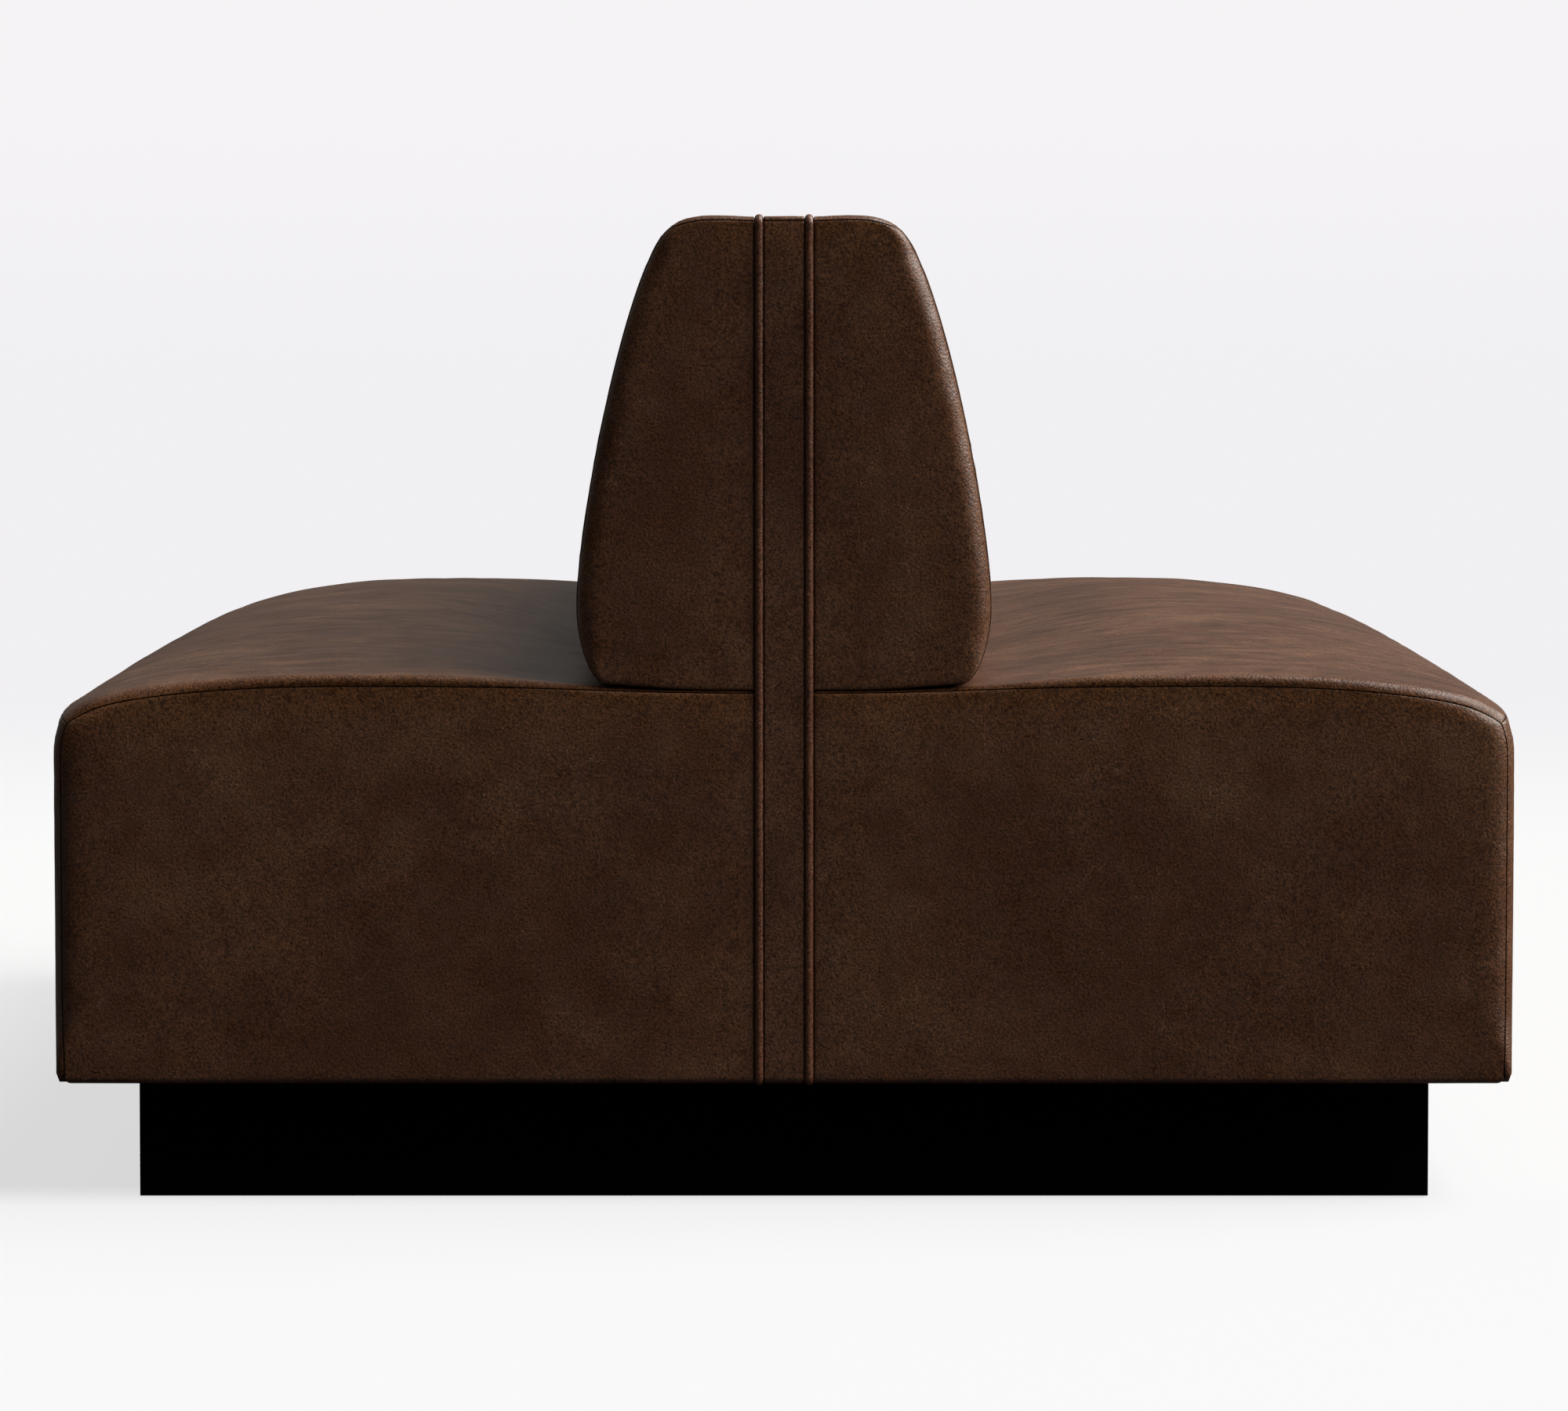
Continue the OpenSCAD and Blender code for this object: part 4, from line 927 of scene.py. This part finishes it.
def back_end_hide(side, end, words):
    """Half of the backrest's end: inside its seam over the top and down the slope, turned under below."""
    curve = seam_curve(BACK, len(BACK["line"]) - 15)
    foot = curve["line"][-1]
    x = np.linspace(foot[0], trim_x, 60)[1:]
    sole = np.stack([x, sole_z(x, foot)], -1)
    flat = {
        "line": sole, "out": np.tile([0.0, -1.0], (len(x), 1)),
        "radius": np.full(len(x), foot_corner_r), "seam_in": np.full(len(x), 0.1 * MM),
    }
    split = int(np.argmax(curve["line"][:, 1] < bench_h - back_shoulder_h * 0.35))
    top, right = part(curve, 0, split + 1), part(curve, split, None)
    seam = joined(even(top, 120), even(right, 420), even(flat, 120))
    bottom = np.concatenate([sole[::-1], foot[None]])
    left = np.array([sole[-1], [trim_x, curve["line"][0, 1]]])
    plane = patch(left, right["line"][::-1], bottom, top["line"], fine_shares(0.11, 4 * MM),
                  fine_shares(bench_h - sole[-1, 1], 7 * MM))
    grid, distance = end_surface(plane, seam, SEED + 21 + 2 * side + end)
    rows = []
    for share in np.linspace(0, 1, 7)[1:]:
        row = grid[:, 0].copy()
        row[:, 1] += share * 8 * MM
        row[:, 0] = trim_x + (row[:, 0] - trim_x) * (1 - 0.06 * share)
        row[:, 2] = mix(row[:, 2], seat_full_z(row[:, 0]) + 0.7 * MM, soft_step(share))
        rows.append(row)
    grid, distance = turned_under(grid, distance, rows)
    grid = grid * np.array([side, -end, 1])
    from_top = np.abs(grid[..., 2] - bench_h)
    tint = 0.35 * rubbed(distance, 11 * MM, grid, SEED + 5) + 0.5 * rubbed(from_top, 20 * MM, grid, SEED + 6)
    leather(f"back_end_hide_{words}", grid, (0, 0, back_wide_z), np.clip(tint, 0, 1), seam_shade_and_dirt_share(distance),
            f"back_end_leather_{words}", 0.6)


# The strip and the welts, which run from under the block up one end, over the top and down the other
def trim_line(depth, start, step=8 * MM, corner=edge_r):
    """Line in Y and Z at a depth below the leather: flap, bottom corner, end face, top corner, half the top,
    and the same again mirrored."""
    r, e = bottom_r - depth, corner - depth
    y, z, top = face_y - depth, block_z + depth, bench_h - depth
    count = int((y - e) / step)
    turn = np.linspace(0, math.pi / 2, 9)
    up = z + r + stations(top - e - z - r, step, ends=(False, True))[1:-1]
    parts = [
        np.stack([np.linspace(start, -y + r, 6)[:-1], np.full(5, z)], -1),
        np.stack([-y + r * (1 - np.sin(turn)), z + r * (1 - np.cos(turn))], -1),
        np.stack([np.full(len(up), -y), up], -1),
        np.stack([-y + e * (1 - np.cos(turn)), top - e * (1 - np.sin(turn))], -1),
        np.stack([np.linspace(-y + e, 0, count)[1:], np.full(count - 1, top)], -1),
    ]
    half = np.concatenate(parts)
    return np.concatenate([half, half[-2::-1] * [-1, 1]])


def strip_hide():
    """Strip between the welts: a shallow crown across, rolled in at both edges, with a sewn line pressed in
    across it just under the fold at the top, where its colour and sheen are darkened as painted shade with
    some dirt."""
    line = trim_line(0, -face_y + flap_w, corner=strip_edge_r)
    out = across(line)
    x = stations(2 * strip_x, 4 * MM) - strip_x
    under_top = bench_h - line[:, 1] - strip_edge_r
    fold = np.where(np.abs(line[:, 0]) > face_y - ease, np.exp(-((under_top / (0.8 * MM)) ** 2)), 0)
    face = soft_step((bench_h - line[:, 1]) / (20 * MM))
    crown = strip_crown * (1 - (x / strip_x) ** 2)
    away = (strip_x - np.abs(x))[:, None]
    sunk = roll(away, trim_r / 2) - crown[:, None] * face[None] + 0.7 * MM * fold[None]
    grid = np.empty((len(x), len(line), 3))
    grid[..., 0] = x[:, None]
    grid[..., 1:] = line[None] - out[None] * sunk[..., None]
    slow = waves(grid, (0.2, 0.13, 0.08), SEED + 30) * 0.25 * MM * soft_step(away / (12 * MM))
    grid[..., 1:] += out[None] * slow[..., None]
    top_edge = np.abs(grid[..., 2] - (bench_h - 6 * MM))
    tint = 0.1 * rubbed(away, 4 * MM, grid, SEED + 7) + 0.65 * rubbed(top_edge, 18 * MM, grid, SEED + 8)
    leather("strip_hide", grid, (0, 0, back_wide_z), np.clip(tint, 0, 1),
            np.maximum(seam_shade_and_dirt_share(away), fold[None]), "strip_leather", 0.5, "strip_hide", STRIP_HIDE)


def tube(line, radius, sides, middle):
    """Points of a tube along a line in Y and Z, with its middle at an X: rings square to the line, of a
    radius that may differ by the distance along it and by the angle."""
    angle = np.arange(sides) * 2 * math.pi / sides
    r = radius(lengths(line)[:, None], angle[None])
    grid = np.empty((len(line), sides, 3))
    grid[..., 0] = r * np.sin(angle) + middle
    grid[..., 1:] = line[:, None] + across(line)[:, None] * (r * np.cos(angle))[..., None]
    return grid


def tube_piece(name, grid, bore=None, values=None):
    """Closed mesh of a tube: its wall with a bore and two rims, or with its ends drawn together to points."""
    uv = None
    if bore is None:
        s = lengths(grid[:, 0])
        caps = np.repeat(grid[[0, -1]].mean(1)[:, None, None], grid.shape[1], 2)
        grid = np.concatenate([caps[0], grid, caps[1]])
        around = np.tile(np.arange(grid.shape[1]) * 1.3 * MM, len(grid))
        uv = np.stack([around, np.concatenate([s[:1], s, s[-1:]]).repeat(grid.shape[1])], -1)
    n, m = grid.shape[:2]
    wall = np.arange(n * m).reshape(n, m)
    ring = np.concatenate([wall, wall[:, :1]], 1)
    points, faces = grid.reshape(-1, 3), quads(ring)
    a, b, c = (points[faces[len(faces) // 2][k]] for k in range(3))
    if bore is not None:
        points = np.concatenate([points, bore.reshape(-1, 3)])
        hole = ring + n * m
        faces = np.concatenate([quads(np.concatenate([hole[:1], ring, hole[-1:]])), quads(hole)[:, ::-1]])
    if np.dot(np.cross(b - a, c - a), a - grid[n // 2].mean(0)) < 0:
        faces = faces[:, ::-1]
    return build(name, points, faces, values, uv)


def drop_doubles(piece):
    """Merges points that lie on each other, and so turns collapsed quads into triangles."""
    mesh = bmesh.new()
    mesh.from_mesh(piece.data)
    bmesh.ops.remove_doubles(mesh, verts=mesh.verts, dist=1e-6)
    mesh.to_mesh(piece.data)
    mesh.free()
    return piece


def welt(side, word):
    """Leather wrapped round its cord: a tube whose wall swells and shrinks a little along its way."""
    def outside(s, angle):
        """Radius: a bent sine wave along the welt and round it, and a slower sine wave along it."""
        wobble = np.sin(s * 2 * np.pi / 0.037 + 0.7 * np.sin(s * 2 * np.pi / 0.11)) * np.cos(angle - 0.8)
        return welt_r * (1 + 0.012 * wobble + 0.010 * np.sin(s * 2 * np.pi / 0.083 + side))
    line = trim_line(welt_sink, -end_board_y - ease, step=6 * MM)
    grid = tube(line, outside, 20, side * welt_gap / 2)
    bore = tube(line, lambda s, angle: cord_r + fit_gap + 0 * s * angle, 20, side * welt_gap / 2)
    piece = tube_piece(f"piped_welt_{word}", grid, bore, {"rub": 0.35})
    place(piece, [f"welt_{word}"], WELT_HIDE)


def welt_cord(side, word):
    """Three-strand cotton cord: a tube whose radius has three lobes that turn along its way."""
    def strands(s, angle):
        """Radius: a cosine wave with three crests round the cord, turned by the distance along it."""
        return cord_r * (0.93 + 0.07 * np.cos(3 * (angle - s * 2 * np.pi / cord_lay)))
    line = trim_line(welt_sink, -end_board_y - ease, step=3 * MM)
    grid = tube(line, strands, 12, side * welt_gap / 2)
    place(drop_doubles(tube_piece(f"piping_cord_{word}", grid)), ["welt_cords"], CORD)


# Foam and padding under the leather
pad_gap = hide_t + ease + 0.2 * MM
pad_back = face_y - end_board_y - 0.05 * MM


def seat_foam(side, word):
    """Seat foam: the leather's form again, further in, down to a flat underside on the hessian."""
    section = make_section(SEAT, 8 * MM, (True, True))
    s = section["s"]
    grid, distance = along_length(section, edge_dip(s, True, 1), inset=pad_gap, groove=0, step=20 * MM)
    grid = uneven(grid, side, distance, (s[-1] - s)[:, None], SEED + side, amount=0.8 * MM, pucker=0)
    grid = settled(grid)[int(np.argmax(section["point"][:, 0] >= seat_in_x)):]
    under = grid.copy()
    under[..., 2] = foam_z
    piece = block(f"seat_foam_{word}_block", grid, under, (side * crest_x, 0, foam_z + 0.02))
    place(piece, [f"seat_foam_{word}"], FOAM)


def back_foam(side, word):
    """Back foam: the leather's form again, further in, on a bed that follows the frame's lean."""
    section = make_section(BACK, 10 * MM, (True, False))
    s = section["s"]
    grid, distance = along_length(section, edge_dip(s, False, 0.35), inset=pad_gap, groove=0, step=20 * MM)
    grid = uneven(grid, side, distance, s[:, None], SEED + 6 + side, amount=0.6 * MM, pucker=0)
    stop = int(np.argmax(section["tuck"] > 0))
    grid, point = mirrored(grid, side)[:stop], section["point"][:stop]
    grid[..., 0] = np.maximum(grid[..., 0], trim_x + ease)
    flat = point[:, 0] < back_frame_top_x
    down = np.linspace(0, 1, int((~flat).sum()) + 1)[1:]
    z = np.concatenate([np.full(int(flat.sum()), cap_top_z), mix(cap_top_z, back_frame_z, down)])
    lean = mix(back_frame_x, back_frame_top_x, (np.minimum(z, cap_z) - back_frame_z) / (cap_z - back_frame_z))
    bed = grid.copy()
    bed[..., 0] = np.where(flat, np.maximum(point[:, 0], trim_x + ease), lean + strap_t + ease)[:, None]
    bed[..., 2] = z[:, None]
    piece = block(f"back_foam_{word}_block", mirrored(grid, side), mirrored(bed, side), (side * 0.13, 0, 0.6))
    place(piece, [f"back_foam_{word}"], FOAM)


def side_wadding(side, word):
    """Padding on a long side: the leather's form inside it, round both corners, against the board."""
    section = make_section(SIDE, 16 * MM, (False, False))
    keep = (section["point"][:, 1] < foam_z - ease) & (section["tuck"] < bottom_r)
    section = {key: value[keep] for key, value in section.items()}
    section["seam_in"] = section["radius"] * (1 - (side_corner_r - side_x + side_board_x) / side_corner_r)
    grid = along_length(section, np.zeros(keep.sum()), inset=pad_gap, groove=0, step=20 * MM)[0]
    board = grid.copy()
    board[..., 0] = side_board_x
    board[..., 2] = np.maximum(board[..., 2], block_z + hide_t + ease)
    grid[..., 0] = np.maximum(grid[..., 0], side_board_x + 0.2 * MM)
    grid, board = settled(mirrored(grid, side)), mirrored(board, side)
    piece = block(f"side_wadding_{word}", grid, board, (side * (side_x + side_board_x) / 2, 0, 0.25))
    place(piece, [f"side_pad_{word}"], WADDING)


def under_face(x):
    """Depth of padding behind an end face or the top: inside the leather, with a slot for each welt."""
    x = np.abs(x)
    beside = np.maximum(x - trim_x, 0)
    panel = roll(beside, trim_r) + trim_pull * np.exp(-beside / trim_reach)
    strip = roll(np.maximum(strip_x - x, 0), trim_r / 2) - strip_crown * (1 - (x / strip_x) ** 2)
    slot = welt_r + welt_sink + 0.5 * MM - pad_gap
    return pad_gap + np.where(x >= trim_x + 0.3 * MM, panel, np.where(x <= strip_x - 0.3 * MM, strip, slot))


def pad_stations(wide, step=30 * MM):
    """Places across a pad: close together over the strip and the welts, then even steps to its edge."""
    inner = np.array([0, 8, 13, 15.5, 17.3, 17.5, 26, 26.2, 28, 31, 38, 48]) * MM
    inner = inner[inner < wide]
    outer = np.linspace(inner[-1], wide, max(2, int((wide - inner[-1]) / step)) + 1)[1:]
    half = np.concatenate([inner, outer])
    return np.concatenate([-half[:0:-1], half])


def pad_block(x, z, front, back):
    """Closed pad over a grid of X and Z, between a front depth by place and a flat back."""
    face = np.stack([x, -face_y + front, z], -1)
    rear = np.stack([x, np.full(x.shape, -face_y + back), z], -1)
    return block("pad", face, rear, (face.mean((0, 1)) + rear.mean((0, 1))) / 2)


def turned(piece, end):
    """The piece at end a, or turned round by half a circle for end b."""
    if end < 0:
        mesh = piece.data
        points = np.empty(len(mesh.vertices) * 3, np.float32)
        mesh.vertices.foreach_get("co", points)
        points.reshape(-1, 3)[:, :2] *= -1
        mesh.vertices.foreach_set("co", points)
        mesh.update()
    return piece


def seat_end_wadding(end, letter):
    """Padding behind the block's end: a wide part below the foam, and a narrow one up between the seats."""
    parts = []
    for wide, lo, hi in ((side_board_x - ease, block_z + bottom_r + 2 * MM, foam_z - ease),
                         (beam_out_x, foam_z - ease, base_board_z - hide_t - 2 * ease - seat_roll)):
        x, z = np.meshgrid(pad_stations(wide), np.linspace(lo, hi, 12), indexing="ij")
        depth = under_face(x) + roll(np.maximum(wide - np.abs(x), 0), 3 * MM)
        parts.append(pad_block(x, z, np.minimum(depth, pad_back - 1 * MM), pad_back))
    piece = turned(joined_piece(f"seat_end_wadding_{letter}", parts), end)
    place(piece, [f"seat_end_pad_{letter}"], WADDING)


def back_end_wadding():
    """Padding behind both ends of the backrest, as wide as its frame."""
    z = np.concatenate([np.linspace(back_frame_z, cap_z, 20), [cap_top_z]])
    half = mix(back_frame_x, back_frame_top_x, np.minimum((z - back_frame_z) / (cap_z - back_frame_z), 1))
    share = pad_stations(1.0, 0.2)[pad_stations(1.0, 0.2) > 48.5 * MM]
    inner = pad_stations(48.1 * MM)
    outer = mix(48 * MM, half[None], share[:, None])
    x = np.concatenate([-outer[::-1], np.repeat(inner[:, None], len(z), 1), outer])
    z = np.repeat(z[None], len(x), 0)
    depth = under_face(x) + roll(np.maximum(half[None] - np.abs(x), 0), 3 * MM)
    parts = [turned(pad_block(x, z, depth, pad_back), end) for end in (1, -1)]
    place(joined_piece("back_end_wadding", parts), ["back_end_pads"], WADDING)


def top_filler():
    """Filler between the back foams: its top follows the strip, with a step down beside it for each welt."""
    x = pad_stations(trim_x)
    x[0], x[-1] = -trim_x, trim_x
    top = laid(x, np.linspace(-1, 1, 60) * (face_y - 10 * MM - ease))[0]
    top[..., 2] = bench_h - under_face(x)[:, None]
    under = top.copy()
    under[..., 2] = cap_top_z
    piece = block("top_filler_foam", top, under, (0, 0, (cap_top_z + bench_h) / 2))
    place(piece, ["top_filler"], FOAM)


# Webbing and cloth
def laid(x, y, side=1):
    """Level grid over places across and along the bench, and its UV map in metres."""
    uv = np.stack(np.meshgrid(x, y, indexing="ij"), -1)
    return np.concatenate([uv * [side, 1], 0 * uv[..., :1]], -1), uv


def sheet_block(name, top, thickness, uv, down=(0, 0, -1)):
    """Thin closed sheet between a grid and the same grid moved by its thickness."""
    under = top + np.array(down) * thickness
    return block(name, top, under, (top.mean((0, 1)) + under.mean((0, 1))) / 2, uv)


def seat_strap_sag(x):
    """Sag of a strap between its two rails: a parabola."""
    lo, hi = beam_out_x + strap_rail_w, high("seat_front_rails")[0] - strap_rail_w
    t = np.clip((np.abs(x) - lo) / (hi - lo), 0, 1)
    return -strap_sag * 4 * t * (1 - t)


def strap_set(name, node, count, side, x, z, run, down):
    """Straps side by side along the bench, each on the same line of X and Z, with its UV map by its run."""
    pitch = 2 * inner_y / count
    pieces = []
    for k in range(count):
        y = (k + 0.5) * pitch - inner_y + np.linspace(-strap_w / 2, strap_w / 2, 7)
        grid, uv = laid(run, y)
        grid[..., 0], grid[..., 2] = side * x[:, None], z[:, None]
        pieces.append(sheet_block("strap", grid, strap_t, uv, down))
    place(joined_piece(name, pieces), [node], WEBBING)


def webbing(side, word):
    """Straps across a seat from the beam's rail to the front rail, and straps up a back face on its lean."""
    x = np.linspace(beam_out_x, high("seat_front_rails")[0], 40)
    z = deck_z + strap_t + seat_strap_sag(x)
    strap_set(f"seat_straps_{word}", "seat_webbing", seat_straps, side, x, z, x, (0, 0, -1))
    t = np.linspace(0, 1, 30)
    x, z = mix(back_frame_x, back_frame_top_x, t) + strap_t, mix(back_frame_z, cap_z, t)
    strap_set(f"back_straps_{word}", "back_webbing", back_straps, side, x, z, z, (-side, 0, 0))


def joined_piece(name, pieces):
    """Several objects made one, under a new name."""
    with bpy.context.temp_override(active_object=pieces[0], selected_editable_objects=pieces):
        bpy.ops.object.join()
    pieces[0].name = name
    pieces[0].data.name = name
    return pieces[0]


def hessian(side, word):
    """Hessian over the straps, stapled to the boards all round and sagging with the straps between."""
    lo, hi = low("seat_hessian"), high("seat_hessian")
    x, y = np.linspace(beam_out_x, hi[0], 60), np.linspace(lo[1], hi[1], 160)
    grid, uv = laid(x, y, side)
    pitch = 2 * inner_y / seat_straps
    between = (1 - np.cos(2 * np.pi * (grid[..., 1] + inner_y) / pitch)) / 2
    held = soft_step((inner_y - np.abs(grid[..., 1])) / (40 * MM))
    grid[..., 2] = hi[2] - 0.05 * MM + seat_strap_sag(grid[..., 0]) * held * (0.6 + 0.4 * between)
    piece = sheet_block(f"hessian_{word}", grid, hessian_t, uv)
    place(piece, ["seat_hessian"], HESSIAN)


def dust_cover():
    """Dust cover stapled under the base frame, hanging a little between the cross rails."""
    lo, hi = low("dust_cover"), high("dust_cover")
    grid, uv = laid(np.linspace(lo[0], hi[0], 90), np.linspace(lo[1], hi[1], 200))
    between = np.sin(2 * np.pi * grid[..., 1] / inner_y) ** 2
    inside = soft_step((hi[0] - np.abs(grid[..., 0])) / (150 * MM))
    ends = soft_step((hi[1] - np.abs(grid[..., 1])) / (60 * MM))
    sag = dust_cover_sag * between * inside * ends
    sag += 1.0 * MM * inside * ends * between * waves(grid, (0.21, 0.13, 0.09), SEED + 40)
    grid[..., 2] = hi[2] - sag
    piece = sheet_block("dust_cover_cloth", grid, dust_cover_t, uv)
    place(piece, ["dust_cover"], DUST_CLOTH)


# Making the pieces
for side, word in ((-1, "left"), (1, "right")):
    for make in (seat_top_hide, side_hide, back_hide, welt, welt_cord, seat_foam, back_foam, webbing, hessian,
                 side_wadding):
        make(side, word)
    for end, letter in ((1, "a"), (-1, "b")):
        seat_end_hide(side, end, f"{letter}_{word}")
        back_end_hide(side, end, f"{letter}_{word}")
strip_hide()
dust_cover()
seat_end_wadding(1, "a")
seat_end_wadding(-1, "b")
back_end_wadding()
top_filler()

for subpart in frame["record"]["subparts"]:
    if subpart["material_slot"] in CAD_MATERIALS:
        materials = frame["nodes"][subpart["node"]].data.materials
        materials.clear()
        materials.append(CAD_MATERIALS[subpart["material_slot"]])


# Floor, light and background
SOFT = "SMOOTHSTEP"


def make_floor():
    """Wide pale floor. To the eye it is painted nearly as bright as the background, with only part of the
    shadow on it, as on a lit studio sweep; for the light it reflects it is a dark grey paint that sends back
    little light."""
    half = 60
    points = np.array([[-half, -half, 0], [half, -half, 0], [half, half, 0], [-half, half, 0]], float)
    floor = build("floor", points, np.array([[0, 1, 2, 3]]))
    material, tree = new_material("white studio floor")
    coords = add(tree, "TexCoord").outputs["Object"]
    away = add(tree, "VectorMath", [coords], operation="LENGTH")
    far = add(tree, "MapRange", [away, 2.5, 7], interpolation_type=SOFT)
    paint = add(tree, "BsdfDiffuse", [(0.80, 0.795, 0.80, 1)])
    beside_glow = add(tree, "Emission", [(0.868, 0.868, 0.872, 1)])
    beside = add(tree, "MixShader", [0.233, beside_glow, paint])
    # In front of the near end the floor glows a little more and shows still less of the shadow: painted light
    front_glow = add(tree, "Emission", [(0.913, 0.913, 0.918, 1)])
    front = add(tree, "MixShader", [0.1, front_glow, paint])
    parts = add(tree, "SeparateXYZ", [coords])
    forward = add(tree, "MapRange", [parts.outputs["Y"], -0.9, -1.05], interpolation_type=SOFT)
    near = add(tree, "MixShader", [forward, beside, front])
    far_glow = add(tree, "Emission", [(0.878, 0.865, 0.885, 1)])
    shown = add(tree, "MixShader", [far, near, far_glow])
    dull = add(tree, "BsdfDiffuse", [(0.05, 0.05, 0.05, 1)])
    seen = add(tree, "LightPath").outputs["Is Camera Ray"]
    floor.data.materials.append(close(material, add(tree, "MixShader", [seen, dull, shown])))


def make_lamp(name, kind, turn, where=(0, 0, 0), **settings):
    """Lamp turned to its direction, at its place, with its settings."""
    data = bpy.data.lights.new(name, kind)
    for key, value in settings.items():
        setattr(data, key, value)
    lamp = bpy.data.objects.new(name, data)
    lamp.location = where
    lamp.rotation_euler = turn
    bpy.context.scene.collection.objects.link(lamp)


def make_lights():
    """A large soft key light up to the right, turned a little to the back, and a softer square panel to the
    right front that faces the middle of the near end."""
    make_lamp("key", "SUN", (0, math.radians(44), math.radians(5)),
              energy=6.1, angle=math.radians(64), color=(1, 0.985, 0.96))
    panel = np.array([3.1, -2.4, 1.9])
    x, y, z = np.array([0, -face_y, 0.4]) - panel
    make_lamp("fill", "AREA", (math.atan2(math.hypot(x, y), -z), 0, math.atan2(-x, y)), panel,
              energy=16, size=2.4)


def make_world():
    """Even pale background for the eye. The light it gives comes from above and from behind the bench."""
    world = bpy.data.worlds.new("studio")
    bpy.context.scene.world = world
    world.use_nodes = True
    tree = world.node_tree
    tree.nodes.clear()
    way = add(tree, "TexCoord").outputs["Generated"]
    parts = add(tree, "SeparateXYZ", [way])
    behind = add(tree, "MapRange", [parts.outputs["Y"], -0.2, 0.9, 0.015, 0.135], interpolation_type=SOFT)
    above = add(tree, "MapRange", [parts.outputs["Z"], 0.2, 0.95, 0, 0.23], interpolation_type=SOFT)
    light = add(tree, "Math", [behind, above], operation="ADD")
    lit = add(tree, "Background", [(1, 0.99, 0.94, 1), light])
    up = add(tree, "MapRange", [parts.outputs["Z"], -0.01, 0.035], interpolation_type=SOFT)
    sky = add(tree, "Mix", {"Factor": up, "A": (0.878, 0.865, 0.885, 1), "B": (0.913, 0.896, 0.913, 1)},
              data_type="RGBA")
    shown = add(tree, "Background", [sky])
    seen = add(tree, "LightPath").outputs["Is Camera Ray"]
    add(tree, "OutputWorld", [add(tree, "MixShader", [seen, lit, shown])])


make_floor()
make_world()
make_lights()
bpy.context.scene.view_settings.view_transform = "Standard"
